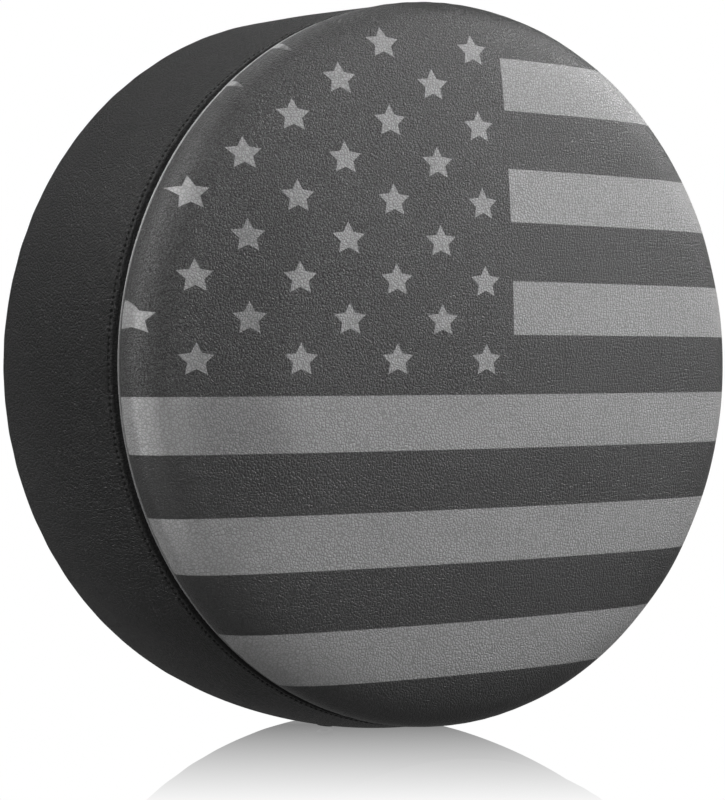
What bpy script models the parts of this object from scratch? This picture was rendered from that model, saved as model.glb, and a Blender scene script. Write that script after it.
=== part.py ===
"""A soft cover for a spare wheel, modelled as it sits on a 29 x 9 inch tyre. Metres, +Z up.

The origin is the middle of the tyre. The cover's axis is Y: its printed face looks towards -Y and its
gathered opening towards +Y. Sections are lists of (radius, y) and are turned about the Y axis.
"""

from math import cos, pi, radians, sin

import bmesh
import bpy
from mathutils import Matrix, Vector

# Driving dimensions.
TYRE_WIDTH = 0.2286
SEAM_RADIUS = 0.351
FLARE = 0.0378 * SEAM_RADIUS
BULGE = 0.0283 * SEAM_RADIUS
REAR_CORNER = 0.0204
REAR_SEAM_TURN = radians(60)
FACE_DEPTH = 0.2192 * SEAM_RADIUS
CROWN_RISE = 0.0866 * SEAM_RADIUS
RIM_ROLL = 0.0506 * SEAM_RADIUS
RIM_ROLL_POWER = 16
FACE_CORNER_START = 0.928 * SEAM_RADIUS
CROWN_FLAT = 0.036

GAP = 0.0003
LEATHER = 0.0012
FACE_LINING = 0.002
BAND_LINING = 0.0015
SKIRT_LEATHER = 0.001

PIPING_RADIUS = 0.0019
PIPING_COVER = 0.0006
PIPING_SINK = 0.0016
SEAM_HALF_GAP = PIPING_RADIUS + GAP

SKIRT_RIM = 0.331
SKIRT_SINK = 0.0004
HEM_SINK = 0.0008
HEM_RADIUS = 0.244
HEM_CASING_RADIUS = 0.0046
HEM_CASING_WALL = 0.0012
HEM_ELASTIC_RADIUS = 0.003

STRAP_HEIGHT = -0.14
WEBBING_WIDTH = 0.025
WEBBING_THICKNESS = 0.0014
STRAP_STAND_OFF = 0.006
ANCHOR_CENTRE = 0.2625
ANCHOR_SIZE = (0.045, 0.040)
BUCKLE_LENGTH = 0.036
TONGUE_START = 0.0006
TONGUE_END = 0.0185
BUCKLE_HALF_WIDTH = 0.0165
BUCKLE_HALF_THICKNESS = 0.0055
TONGUE_HALF_THICKNESS = 0.0045
BUCKLE_ROUNDING = 0.0014
SLOT_HALF_WIDTH = 0.0134
BAR_HALF = 0.0015
PRONG_OFFSET = 0.0102
PRONG_HALF_THICKNESS = 0.0027

EYELET_TURN = radians(8)
EYELET_BORE = 0.004
EYELET_BARREL = 0.0048
EYELET_FLANGE = 0.0085
EYELET_RIM = 0.001
WASHER_THICKNESS = 0.0008

BINDING_TAPE = 0.0012
THIN_TAPE = 0.0008
LABEL_SIZE = (0.045, 0.037)
LABEL_THICKNESS = 0.0005
LABEL_TURN = radians(-38)

TURN_STEPS = 40
FRONT_Y = -TYRE_WIDTH / 2
BACK_Y = TYRE_WIDTH / 2
CROWN_Y = FRONT_Y - FACE_DEPTH
STRAP_Y = BACK_Y + STRAP_STAND_OFF
REAR_RADIUS = SEAM_RADIUS + FLARE
LAYER_STEP = (WEBBING_THICKNESS + GAP) / 2


def clear_scene():
    for item in list(bpy.data.objects):
        bpy.data.objects.remove(item, do_unlink=True)


def material(name, colour, roughness, metallic=0.0):
    made = bpy.data.materials.new(name)
    made.use_nodes = True
    shader = made.node_tree.nodes["Principled BSDF"]
    shader.inputs["Base Color"].default_value = (*colour, 1.0)
    shader.inputs["Roughness"].default_value = roughness
    shader.inputs["Metallic"].default_value = metallic
    return made


def add_object(name, mesh_data, finish, smooth_angle=30):
    """A new object from a bmesh, with its faces turned outwards and its curved faces shaded smooth."""
    bmesh.ops.remove_doubles(mesh_data, verts=mesh_data.verts, dist=1e-6)
    bmesh.ops.recalc_face_normals(mesh_data, faces=mesh_data.faces)
    mesh = bpy.data.meshes.new(name)
    mesh_data.to_mesh(mesh)
    mesh_data.free()
    mesh.shade_smooth()
    mesh.set_sharp_from_angle(angle=radians(smooth_angle))
    made = bpy.data.objects.new(name, mesh)
    bpy.context.scene.collection.objects.link(made)
    if finish:
        mesh.materials.append(finish)
    return made


def as_guide(item):
    item.hide_render = True
    item.display_type = "WIRE"
    return item


def cut(item, cutter):
    hole = item.modifiers.new(f"cut_{cutter.name}", "BOOLEAN")
    hole.operation = "DIFFERENCE"
    hole.solver = "EXACT"
    hole.object = as_guide(cutter)


def join(item, other):
    union = item.modifiers.new(f"join_{other.name}", "BOOLEAN")
    union.operation = "UNION"
    union.solver = "EXACT"
    union.object = as_guide(other)


# Sections.


def offset_line(points, distance):
    """The line moved sideways by distance, to the left of its direction, with mitred corners."""
    line = [Vector(point) for point in points]
    moved = []
    for index, point in enumerate(line):
        before = line[max(index - 1, 0)]
        after = line[min(index + 1, len(line) - 1)]
        sides = []
        if index > 0:
            sides.append((point - before).normalized())
        if index < len(line) - 1:
            sides.append((after - point).normalized())
        left = sum((Vector((-side.y, side.x)) for side in sides), Vector((0, 0))).normalized()
        stretch = left.dot(Vector((-sides[0].y, sides[0].x)))
        moved.append(tuple(point + left * (distance / stretch)))
    return moved


def layer_section(line, depth, thickness):
    """The section of a layer whose outer side lies depth in from the line."""
    return offset_line(line, depth) + offset_line(line, depth + thickness)[::-1]


def turned(name, section, finish, closed=True, turn=2 * pi, start=0.0):
    """The section turned about the Y axis. A closed section is a loop off the axis."""
    body = bmesh.new()
    verts = [body.verts.new((radius * cos(start), y, radius * sin(start))) for radius, y in section]
    pairs = list(zip(verts, verts[1:]))
    if closed:
        pairs.append((verts[-1], verts[0]))
    edges = [body.edges.new(pair) for pair in pairs]
    whole = abs(turn - 2 * pi) < 1e-9
    steps = TURN_STEPS if whole else max(2, round(TURN_STEPS * turn / (2 * pi)))
    bmesh.ops.spin(
        body,
        geom=verts + edges,
        cent=(0, 0, 0),
        axis=(0, -1, 0),
        angle=turn,
        steps=steps,
        use_merge=whole,
        use_duplicate=False,
    )
    if not whole:
        bmesh.ops.holes_fill(body, edges=[edge for edge in body.edges if edge.is_boundary])
    return add_object(name, body, finish)


def face_line(steps=5, corner_steps=5):
    """The face's outer line, from the crown to the front seam."""

    def dome(radius):
        share = radius / SEAM_RADIUS
        return CROWN_Y + CROWN_RISE * share**2 + RIM_ROLL * share**RIM_ROLL_POWER

    line = [(0, CROWN_Y), (CROWN_FLAT, CROWN_Y)]
    for index in range(1, steps + 1):
        radius = CROWN_FLAT + (FACE_CORNER_START - CROWN_FLAT) * index / steps
        line.append((radius, dome(radius)))
    share = FACE_CORNER_START / SEAM_RADIUS
    roll_slope = RIM_ROLL_POWER * RIM_ROLL * share ** (RIM_ROLL_POWER - 1)
    slope = (2 * CROWN_RISE * share + roll_slope) / SEAM_RADIUS
    begin = Vector((FACE_CORNER_START, dome(FACE_CORNER_START)))
    knee = Vector((SEAM_RADIUS, begin.y + slope * (SEAM_RADIUS - begin.x)))
    end = Vector((SEAM_RADIUS, FRONT_Y - SEAM_HALF_GAP))
    for index in range(1, corner_steps + 1):
        share = index / corner_steps
        point = begin * (1 - share) ** 2 + knee * 2 * share * (1 - share) + end * share**2
        line.append(tuple(point))
    return line


def band_line(steps=5, corner_steps=3):
    """The side band's outer line, from the front seam round most of the rear corner."""
    first = FRONT_Y + SEAM_HALF_GAP
    line = []
    for index in range(steps + 1):
        y = first + (BACK_Y - REAR_CORNER - first) * index / steps
        line.append((band_radius(y), y))
    for index in range(1, corner_steps + 1):
        line.append(rear_corner_point(REAR_SEAM_TURN * index / corner_steps))
    return line


def band_radius(y):
    """The band's outer radius ahead of its rear corner. It flares to the back and bulges over the tread."""
    share = (y - FRONT_Y) / (BACK_Y - REAR_CORNER - FRONT_Y)
    return SEAM_RADIUS + FLARE * share + 4 * BULGE * share * (1 - share)


def rear_corner_point(turn):
    centre = REAR_RADIUS - REAR_CORNER
    return (centre + REAR_CORNER * cos(turn), BACK_Y - REAR_CORNER + REAR_CORNER * sin(turn))


def skirt_line():
    """The rear skirt's outer line, from the rear seam to the hem: a flat rim, then a ring a little lower."""
    seam_gap = radians(3)
    step_width = 0.004
    hem_edge = HEM_RADIUS + HEM_CASING_RADIUS - HEM_CASING_WALL + GAP
    hem_step = hem_edge + 0.006
    corner_turns = (REAR_SEAM_TURN + seam_gap, radians(76), pi / 2)
    line = [rear_corner_point(turn) for turn in corner_turns]
    line.append((SKIRT_RIM, BACK_Y))
    line.append((SKIRT_RIM - step_width, BACK_Y - SKIRT_SINK))
    line.append((hem_step + step_width, BACK_Y - SKIRT_SINK))
    line.append((hem_step, BACK_Y - HEM_SINK))
    line.append((hem_edge, BACK_Y - HEM_SINK))
    return line


def ring_section(radius, y, size, sides):
    angles = [2 * pi * index / sides for index in range(sides)]
    return [(radius + size * cos(angle), y + size * sin(angle)) for angle in angles]


def split_ring_section(radius, y, outer, wall, half_slit, facing, sides):
    """A C-shaped section with its slit facing the given way, for a tape folded round a core."""
    points = []
    for size, sweep in ((outer, 1), (outer - wall, -1)):
        half_angle = half_slit / size
        for index in range(sides + 1):
            share = index / sides if sweep > 0 else 1 - index / sides
            angle = facing + half_angle + (2 * pi - 2 * half_angle) * share
            points.append((radius + size * cos(angle), y + size * sin(angle)))
    return points


# Blocks, plates and strips.


def block(name, low, high, finish=None, round_by=0.0):
    body = bmesh.new()
    size = [high[i] - low[i] for i in range(3)]
    middle = [(high[i] + low[i]) / 2 for i in range(3)]
    place = Matrix.Translation(middle) @ Matrix.Diagonal((*size, 1.0))
    bmesh.ops.create_cube(body, size=1.0, matrix=place)
    if round_by:
        bmesh.ops.bevel(body, geom=body.edges[:], offset=round_by, segments=2, profile=0.5, affect="EDGES")
    return add_object(name, body, finish)


def extruded(name, outline, low_z, high_z, finish=None):
    """An outline of (x, y) points, extruded along Z."""
    body = bmesh.new()
    bottom = body.faces.new([body.verts.new((x, y, low_z)) for x, y in outline])
    swept = bmesh.ops.extrude_face_region(body, geom=[bottom])
    lifted = [item for item in swept["geom"] if isinstance(item, bmesh.types.BMVert)]
    bmesh.ops.translate(body, verts=lifted, vec=(0, 0, high_z - low_z))
    return add_object(name, body, finish)


def strip(name, path, finish):
    """Webbing along an (x, y) path, standing WEBBING_WIDTH high about STRAP_HEIGHT."""
    half = WEBBING_THICKNESS / 2
    outline = offset_line(path, half) + offset_line(path, -half)[::-1]
    low = STRAP_HEIGHT - WEBBING_WIDTH / 2
    return extruded(name, outline, low, low + WEBBING_WIDTH, finish)


def loop_path(bar_x, towards):
    """Half a turn round a buckle's square bar, from the layer in front of it to the layer behind it."""
    reach = BAR_HALF * 2**0.5 + GAP + WEBBING_THICKNESS / 2
    beside = bar_x - towards * 2 * BAR_HALF
    turn = [(beside, STRAP_Y - reach)]
    for index in range(7):
        angle = -pi / 2 + pi * index / 6
        turn.append((bar_x + towards * reach * cos(angle), STRAP_Y + reach * sin(angle)))
    turn.append((beside, STRAP_Y + reach))
    return turn


# The sewn shell.


def build_shell(finishes):
    face = face_line()
    panel = layer_section(face, 0.0, LEATHER)
    turned("face_panel", panel, finishes["face"], closed=False)
    lining = layer_section(face, LEATHER + GAP, FACE_LINING)
    turned("face_lining", lining, finishes["lining"], closed=False)

    piping_radius = SEAM_RADIUS - PIPING_SINK
    half_slit = 0.0004
    cover = split_ring_section(piping_radius, FRONT_Y, PIPING_RADIUS, PIPING_COVER, half_slit, pi, 6)
    turned("rim_piping", cover, finishes["piping"])
    core = ring_section(piping_radius, FRONT_Y, PIPING_RADIUS - PIPING_COVER - GAP, 6)
    turned("rim_piping_core", core, finishes["cord"])

    band = band_line()
    side_band = turned("side_band", layer_section(band, 0.0, LEATHER), finishes["band"])
    lining = layer_section(band, LEATHER + GAP, BAND_LINING)
    band_lining = turned("band_lining", lining, finishes["lining"])

    turned("rear_skirt", layer_section(skirt_line(), 0.0, SKIRT_LEATHER), finishes["skirt"])
    return side_band, band_lining


def build_bindings(finishes):
    """Tapes over the raw edges inside the front and rear seams, and over the band's own join."""
    outer = SEAM_RADIUS - LEATHER - FACE_LINING - 3 * GAP
    inner = outer - 0.009
    outer_half_width = 0.0016
    inner_half_width = 0.0013
    front = [
        (inner, FRONT_Y - inner_half_width),
        (inner, FRONT_Y + inner_half_width),
        (outer, FRONT_Y + outer_half_width),
        (outer, FRONT_Y - outer_half_width),
    ]
    turned("front_seam_binding", front, finishes["tape"])

    depth = LEATHER + BAND_LINING + 3 * GAP
    tape_turns = [REAR_SEAM_TURN + step * radians(12) for step in (-1, 0, 1)]
    tape_line = [rear_corner_point(turn) for turn in tape_turns]
    turned("rear_seam_binding", layer_section(tape_line, depth, BINDING_TAPE), finishes["tape"])

    # The join tape is narrow, so it lies deeper than the ring's own flat facets.
    join_line = band_line()[1:-3]
    facet_depth = 0.0008
    tape = layer_section(join_line, depth + facet_depth, THIN_TAPE)
    half_turn = radians(2)
    turned("band_join_tape", tape, finishes["tape"], turn=2 * half_turn, start=-pi / 2 - half_turn)


def build_hem(finishes):
    """The casing is folded round the skirt's edge and holds the elastic."""
    y = BACK_Y - HEM_SINK - SKIRT_LEATHER / 2
    half_slit = SKIRT_LEATHER / 2 + GAP
    casing = split_ring_section(HEM_RADIUS, y, HEM_CASING_RADIUS, HEM_CASING_WALL, half_slit, 0.0, 8)
    turned("hem_casing", casing, finishes["tape"])
    turned("hem_elastic", ring_section(HEM_RADIUS, y, HEM_ELASTIC_RADIUS, 8), finishes["elastic"])


def build_eyelets(side_band, band_lining, finishes):
    """Two drain eyelets through the bottom of the band, each with its barrel, rim and inner washer."""
    y = FRONT_Y + TYRE_WIDTH * 0.55
    skin = band_radius(y)
    under_rim = skin + GAP
    over_rim = under_rim + EYELET_RIM
    # The ring's flat facets lie a little inside the skin's radius.
    facet_depth = 0.001
    over_washer = skin - LEATHER - BAND_LINING - 2 * GAP - facet_depth
    under_washer = over_washer - WASHER_THICKNESS
    barrel_end = under_washer - WASHER_THICKNESS
    clear = EYELET_BARREL + GAP
    rim = [
        (EYELET_BORE, barrel_end),
        (EYELET_BORE, over_rim),
        (EYELET_FLANGE - EYELET_RIM, over_rim),
        (EYELET_FLANGE, under_rim),
        (EYELET_BARREL, under_rim),
        (EYELET_BARREL, barrel_end),
    ]
    washer = [
        (clear, under_washer),
        (clear, over_washer),
        (EYELET_FLANGE, over_washer),
        (EYELET_FLANGE, under_washer),
    ]
    reach = 0.02
    hole = [(0, skin - reach), (clear, skin - reach), (clear, skin + reach), (0, skin + reach)]
    for side, name in ((-1, "left"), (1, "right")):
        turn = Matrix.Rotation(-side * EYELET_TURN, 4, "Y")
        place_round(f"drain_eyelet_{name}", rim, y, turn, finishes["metal"])
        place_round(f"drain_washer_{name}", washer, y, turn, finishes["metal"])
        for item, tag in ((side_band, "band"), (band_lining, "lining")):
            cut(item, place_round(f"hole_{tag}_{name}", hole, y, turn, None, closed=False))


def place_round(name, section, y, turn, finish, closed=True, steps=16):
    """A small turned piece whose axis is radial, pointing down before the given turn about Y."""
    body = bmesh.new()
    verts = [body.verts.new((radius, y, -depth)) for radius, depth in section]
    pairs = list(zip(verts, verts[1:]))
    if closed:
        pairs.append((verts[-1], verts[0]))
    edges = [body.edges.new(pair) for pair in pairs]
    bmesh.ops.spin(
        body,
        geom=verts + edges,
        cent=(0, y, 0),
        axis=(0, 0, 1),
        angle=2 * pi,
        steps=steps,
        use_merge=True,
        use_duplicate=False,
    )
    bmesh.ops.transform(body, matrix=turn, verts=body.verts)
    return add_object(name, body, finish)


# The strap and its buckle.


def build_anchors(finishes):
    half_x = ANCHOR_SIZE[0] / 2
    half_z = ANCHOR_SIZE[1] / 2
    for side, name in ((-1, "left"), (1, "right")):
        x = side * ANCHOR_CENTRE
        low = (x - half_x, BACK_Y + GAP, STRAP_HEIGHT - half_z)
        high = (x + half_x, BACK_Y + GAP + LEATHER, STRAP_HEIGHT + half_z)
        block(f"anchor_patch_{name}", low, high, finishes["band"])


def build_webbing(finishes):
    """The left run ends in a loop round the housing's bar. The right run meets the tail near the tongue."""
    on_patch = BACK_Y + LEATHER + 2 * GAP + WEBBING_THICKNESS / 2
    over_left = STRAP_Y + LAYER_STEP
    over_right = STRAP_Y - LAYER_STEP
    left_bar = -BUCKLE_LENGTH + BAR_HALF
    right_bar = TONGUE_END - BAR_HALF
    sewn_end = 0.283
    sewn_start = 0.241
    lifted = 0.220
    beside_bar = 0.012
    turned_back = 0.040
    meet = 0.042
    tail_end = 0.118

    left = [(-sewn_end, on_patch), (-sewn_start, on_patch), (-lifted, over_left)]
    left += [(left_bar - beside_bar, over_left)]
    left += loop_path(left_bar, 1)[::-1]
    left += [(left_bar - beside_bar, over_right), (left_bar - turned_back, over_right)]
    strip("webbing_left", left, finishes["webbing"])

    right = [(sewn_end, on_patch), (sewn_start, on_patch), (lifted, over_right), (meet, over_right)]
    strip("webbing_right", right, finishes["webbing"])

    tail = [(meet - GAP, over_right), (right_bar + beside_bar, over_right)]
    tail += loop_path(right_bar, -1)
    tail += [(right_bar + beside_bar, over_left), (tail_end, over_left)]
    strip("webbing_tail", tail, finishes["webbing"])


def build_keeper(finishes):
    """A flat elastic loop round the strap and its tail."""
    inner_y = WEBBING_THICKNESS + 2 * GAP
    inner_z = WEBBING_WIDTH / 2 + GAP
    wall = 0.0012
    x = (0.092, 0.102)
    reach = 0.01
    keeper = buckle_block("tail_keeper", x, inner_y + wall, inner_z + wall, finish=finishes["elastic"])
    cut(keeper, buckle_block("keeper_space", (x[0] - reach, x[1] + reach), inner_y, inner_z))


def buckle_block(name, x, half_y, half_z, finish=None, round_by=0.0, middle_y=0.0):
    """A block about the middle of the strap, from x[0] to x[1]."""
    low = (x[0], STRAP_Y + middle_y - half_y, STRAP_HEIGHT - half_z)
    high = (x[1], STRAP_Y + middle_y + half_y, STRAP_HEIGHT + half_z)
    return block(name, low, high, finish, round_by)


def build_buckle_housing(finishes):
    """A hollow shell: a pocket for the tongue, windows for its prongs and a bar for the strap."""
    pocket_end = -0.025
    pocket_half = (0.0034, 0.0132)
    window = (-0.0235, -0.0105)
    window_half = 0.0028
    slot_end = -0.0268
    through = 0.03
    bar_end = -BUCKLE_LENGTH + 2 * BAR_HALF
    housing = buckle_block(
        "buckle_housing",
        (-BUCKLE_LENGTH, 0.0),
        BUCKLE_HALF_THICKNESS,
        BUCKLE_HALF_WIDTH,
        finish=finishes["plastic"],
        round_by=BUCKLE_ROUNDING,
    )
    cut(housing, buckle_block("pocket", (pocket_end, through), *pocket_half))
    cut(housing, buckle_block("side_windows", window, window_half, through))
    cut(housing, buckle_block("strap_slot", (bar_end, slot_end), through, SLOT_HALF_WIDTH))
    thin_bar(housing, (-BUCKLE_LENGTH - through, bar_end + 0.0001))


def thin_bar(item, x):
    """Cuts the front and back of a buckle's strap bar down to its square section."""
    deep = 0.004
    for side, name in ((-1, "front"), (1, "back")):
        middle = side * (BAR_HALF + deep)
        cut(item, buckle_block(f"{item.name}_relief_{name}", x, deep, SLOT_HALF_WIDTH, middle_y=middle))


def build_buckle_tongue(finishes):
    """The block that the strap's tail is looped through, with a rail that guides it into the pocket."""
    rail_start = -0.024
    rail_half = (0.0015, 0.003)
    rail_rounding = 0.0006
    slot_start = 0.0088
    through = 0.03
    bar_start = TONGUE_END - 2 * BAR_HALF
    tongue = buckle_block(
        "buckle_tongue",
        (TONGUE_START, TONGUE_END),
        TONGUE_HALF_THICKNESS,
        BUCKLE_HALF_WIDTH,
        finish=finishes["plastic"],
        round_by=BUCKLE_ROUNDING,
    )
    rail_end = TONGUE_START + BUCKLE_ROUNDING
    join(tongue, buckle_block("guide_rail", (rail_start, rail_end), *rail_half, round_by=rail_rounding))
    cut(tongue, buckle_block("ladder_slot", (slot_start, bar_start), through, SLOT_HALF_WIDTH))
    thin_bar(tongue, (bar_start - 0.0001, through))


def build_prongs(finishes):
    """The two springy arms of the tongue. Each turns about Y at its root, 1 mm inside its end."""
    root_x = TONGUE_START - GAP
    hinge_x = root_x - 0.001
    # Half of the outline: root, shank, catch and rounded tip, outwards from the arm's own middle line.
    outline = [
        (root_x, -0.0014),
        (root_x, 0.0014),
        (-0.0120, 0.0012),
        (-0.0128, 0.0026),
        (-0.0205, 0.0026),
        (-0.0235, 0.0004),
        (-0.0235, -0.0008),
        (-0.0215, -0.0014),
    ]
    for side, name in ((1, "upper"), (-1, "lower")):
        body = bmesh.new()
        ends = []
        for y in (-PRONG_HALF_THICKNESS, PRONG_HALF_THICKNESS):
            ends.append([body.verts.new((x - hinge_x, y, side * z)) for x, z in outline])
            body.faces.new(ends[-1])
        for index in range(len(outline)):
            after = (index + 1) % len(outline)
            body.faces.new((ends[0][index], ends[0][after], ends[1][after], ends[1][index]))
        prong = add_object(f"buckle_prong_{name}", body, finishes["plastic"])
        prong.location = (hinge_x, STRAP_Y, STRAP_HEIGHT + side * PRONG_OFFSET)


def build_label(finishes):
    """A blank sewn-in label, standing just inside the lining near the rear seam."""
    near_seam = 0.082
    outer = -0.3575
    half_width = LABEL_SIZE[0] / 2
    low = (-half_width, near_seam - LABEL_SIZE[1], outer - LABEL_THICKNESS)
    high = (half_width, near_seam, outer)
    label = block("care_label", low, high, finishes["label"])
    label.data.transform(Matrix.Rotation(LABEL_TURN, 4, "Y"))


def build_all():
    finishes = {
        "face": material("printed_leather", (0.075, 0.075, 0.078), 0.42),
        "band": material("band_leather", (0.022, 0.022, 0.023), 0.5),
        "skirt": material("skirt_leather", (0.02, 0.02, 0.021), 0.55),
        "piping": material("piping_leather", (0.012, 0.012, 0.012), 0.45),
        "cord": material("piping_cord", (0.3, 0.3, 0.29), 0.8),
        "lining": material("fleece_lining", (0.16, 0.16, 0.165), 0.95),
        "tape": material("binding_tape", (0.02, 0.02, 0.021), 0.8),
        "elastic": material("elastic", (0.03, 0.03, 0.03), 0.75),
        "webbing": material("webbing", (0.018, 0.018, 0.019), 0.7),
        "plastic": material("buckle_plastic", (0.015, 0.015, 0.016), 0.35),
        "metal": material("eyelet_metal", (0.08, 0.08, 0.085), 0.35, 1.0),
        "label": material("label", (0.6, 0.6, 0.58), 0.7),
    }
    side_band, band_lining = build_shell(finishes)
    build_bindings(finishes)
    build_hem(finishes)
    build_eyelets(side_band, band_lining, finishes)
    build_anchors(finishes)
    build_webbing(finishes)
    build_keeper(finishes)
    build_buckle_housing(finishes)
    build_buckle_tongue(finishes)
    build_prongs(finishes)
    build_label(finishes)


clear_scene()
build_all()
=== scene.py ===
"""The looks of a spare wheel cover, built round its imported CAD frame. Metres, +Z up, in the CAD's frame.

The cover's axis is Y: its printed face looks towards -Y and its gathered opening towards +Y. A surface
turned about Y is a grid of angles and section points; angle 0 is at +X and a quarter turn is at +Z.
"""

from math import atan2, cos, pi, radians, sin, sqrt

import bmesh
import bpy
import numpy as np
from mathutils import Matrix, Vector


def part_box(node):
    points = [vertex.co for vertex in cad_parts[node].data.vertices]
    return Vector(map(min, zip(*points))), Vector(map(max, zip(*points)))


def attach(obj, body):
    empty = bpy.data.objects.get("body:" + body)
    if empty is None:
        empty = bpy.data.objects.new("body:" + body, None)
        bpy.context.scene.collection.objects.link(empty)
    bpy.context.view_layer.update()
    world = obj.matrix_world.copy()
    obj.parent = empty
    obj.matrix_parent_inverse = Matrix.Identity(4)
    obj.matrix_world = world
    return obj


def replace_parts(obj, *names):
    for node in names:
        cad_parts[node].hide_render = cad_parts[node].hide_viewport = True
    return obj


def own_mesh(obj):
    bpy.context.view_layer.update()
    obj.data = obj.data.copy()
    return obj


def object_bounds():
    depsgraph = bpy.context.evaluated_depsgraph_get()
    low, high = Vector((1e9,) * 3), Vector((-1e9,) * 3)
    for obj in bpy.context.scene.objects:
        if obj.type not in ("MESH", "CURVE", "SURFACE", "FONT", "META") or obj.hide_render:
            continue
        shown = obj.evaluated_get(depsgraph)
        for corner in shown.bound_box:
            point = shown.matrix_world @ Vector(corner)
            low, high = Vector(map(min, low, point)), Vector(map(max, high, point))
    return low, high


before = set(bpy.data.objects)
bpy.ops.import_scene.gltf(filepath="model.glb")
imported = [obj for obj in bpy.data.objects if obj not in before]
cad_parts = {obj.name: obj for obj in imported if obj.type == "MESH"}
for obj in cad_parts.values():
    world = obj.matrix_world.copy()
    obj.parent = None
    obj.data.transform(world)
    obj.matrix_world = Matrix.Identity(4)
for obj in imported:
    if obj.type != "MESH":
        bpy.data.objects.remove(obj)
cad_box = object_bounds()

# Driving dimensions, from the frame.
FACE_LOW, FACE_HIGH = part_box("face_panel")
SEAM_RADIUS = FACE_HIGH.x
BACK_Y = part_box("rear_skirt")[1].y
FRONT_Y = -BACK_Y
CROWN_Y = FACE_LOW.y
STRAP_LOW, STRAP_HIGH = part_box("webbing_tail")
STRAP_HEIGHT = (STRAP_LOW.z + STRAP_HIGH.z) / 2
HOUSING_LOW, HOUSING_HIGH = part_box("buckle_housing")
STRAP_Y = (HOUSING_LOW.y + HOUSING_HIGH.y) / 2

# The cover's own proportions, as in its CAD part.
FLARE = 0.0378 * SEAM_RADIUS
BULGE = 0.0283 * SEAM_RADIUS
CROWN_RISE = 0.0866 * SEAM_RADIUS
RIM_ROLL = 0.0506 * SEAM_RADIUS
RIM_ROLL_POWER = 16
FACE_CORNER_START = 0.928 * SEAM_RADIUS
REAR_CORNER = 0.0204
REAR_SEAM_TURN = radians(60)
REAR_RADIUS = SEAM_RADIUS + FLARE
CORNER_CENTRE = REAR_RADIUS - REAR_CORNER
BAND_END = BACK_Y - REAR_CORNER
HEM_RADIUS = 0.244
HEM_Y = BACK_Y - 0.0013

# Layers, from the outside in, and what the seams are made of.
LEATHER = 0.0012
SKIRT_LEATHER = 0.001
FACE_FLEECE = 0.0019
BAND_FLEECE = 0.0014
GAP = 0.0003
SEAM_ROLL = 0.0122
SEAM_FORWARD = 0.0073
RIDGE_END = 0.0048
TOPSTITCH_BACK = 0.0068
SKIRT_TOPSTITCH = 0.0085
# The span behind the front seam that is painted matt black as shade.
SEAM_SHADE_SPAN = (0.0022, 0.0040)
SEAM_TUCK = (0.0006, 0.0016, 0.0030)
PIPING_RADIUS = 0.0011
PIPING_BORE = 0.0009
CORD_RADIUS = 0.0008
PIPING_INSET = 0.0013
FRONT_TAPE = 0.0022
REAR_TAPE = 0.0012
JOIN_TAPE = 0.0008
JOIN_HALF_TURN = radians(2)
TAPE_SLACK = 0.0004
HEM_TUBE = 0.0044
HEM_ELASTIC = 0.0026
HEM_ROW_START = HEM_RADIUS + 0.016
GATHER_COUNT = 96
GATHER_HEIGHT = 0.0021
TOP_REST = 0.85

# The print: stripes about the middle of the face, and a field of stars in its upper left.
STRIPE_DARK = 0.0565
STRIPE_LIGHT = 0.0516
FIELD_RIGHT = 0.0355
STAR_FIRST = (0.0028, 0.0039)
STAR_STEP = (0.04998, 0.03703)
STAR_ROWS = 9
STAR_RADIUS = 0.0158
STAR_STRETCH = 1.10
STAR_WAIST = 0.5
INK_EDGE = 0.0003
WRAP_PER_ROLL = 0.03
PRINT_FIELD = 0.030
PRINT_STAR = 0.222
PRINT_DARK = 0.032
PRINT_LIGHT = 0.222
FACE_ROUGHNESS = 0.36

# How finely a surface is turned, and the stitches.
TURNS = 720
STITCH_PITCH = 0.0060
STITCH_LENGTH = 0.0044
THREAD_RADIUS = 0.00036
SEAM_STITCHES = round(2 * pi * SEAM_RADIUS / STITCH_PITCH)

# The strap with its patches, the buckle, the eyelets and the label.
WEBBING_HALF = 0.0007
WEBBING_HALF_WIDTH = 0.0125
LAYER = 0.00085
PATCH_TOP = BACK_Y + LEATHER + 2 * GAP
SEWN_START = 0.241
SEWN_BOX = (0.2435, 0.2805)
SEWN_BOX_HALF_HEIGHT = 0.0098
PATCH_CORNER = 0.006
PATCH_BORDER = 0.0028
STRAP_RISE = (0.232, 0.228, 0.216)
BAR_HALF = 0.0015
BAR = 2 * BAR_HALF
BAR_SPACE = 0.012
SLOT_HALF = 0.0134
THROUGH = 0.03
TONGUE_HALF = 0.0045
TONGUE_FRONT = 0.0006
RELIEF_HALF = 0.004
RIB_HALF = 0.0005
RIB_RISE = 0.0004
PRONG_OFFSET = 0.0102
PRONG_HALF = 0.0014
KEEPER_WALL = 0.0012
EYELET_BORE = 0.004
EYELET_BARREL = 0.0048
EYELET_FLANGE = 0.0085
EYELET_RISE = 0.0013
LABEL_HALF_WIDTH = 0.0225
LABEL_RADIUS = 0.35775
LABEL_TURN = radians(-52)
LABEL_THICKNESS = 0.0004
LABEL_BOW = 0.0011
LABEL_FOLD = 0.005
LABEL_FOLD_RISE = 0.00018

# The studio. Box lights stand round the cover, and the floor mirrors it near the camera's line.
BOX_DISTANCE = 3.2
BOX_SIZE = 1.15
CAMERA_PLACE = (-1.18996, -1.80939, 0.0)
CAMERA_TURN = radians(33.037)
CAMERA_AIM = (sin(CAMERA_TURN), cos(CAMERA_TURN))
CAMERA_LENS = 95.23
CAMERA_SHIFT = -0.0443
MIRROR_SHARE = 0.78
MIRROR_REACH = 0.42
MIRROR_HALF_WIDTH = 0.3
FLOOR_HALF = 6.0
FLOOR_GLOW = 0.22
SKY_LOW = 0.01
SKY_HIGH = 0.03
WHITE = (1.0, 1.0, 1.0, 1.0)


# Materials.


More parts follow.
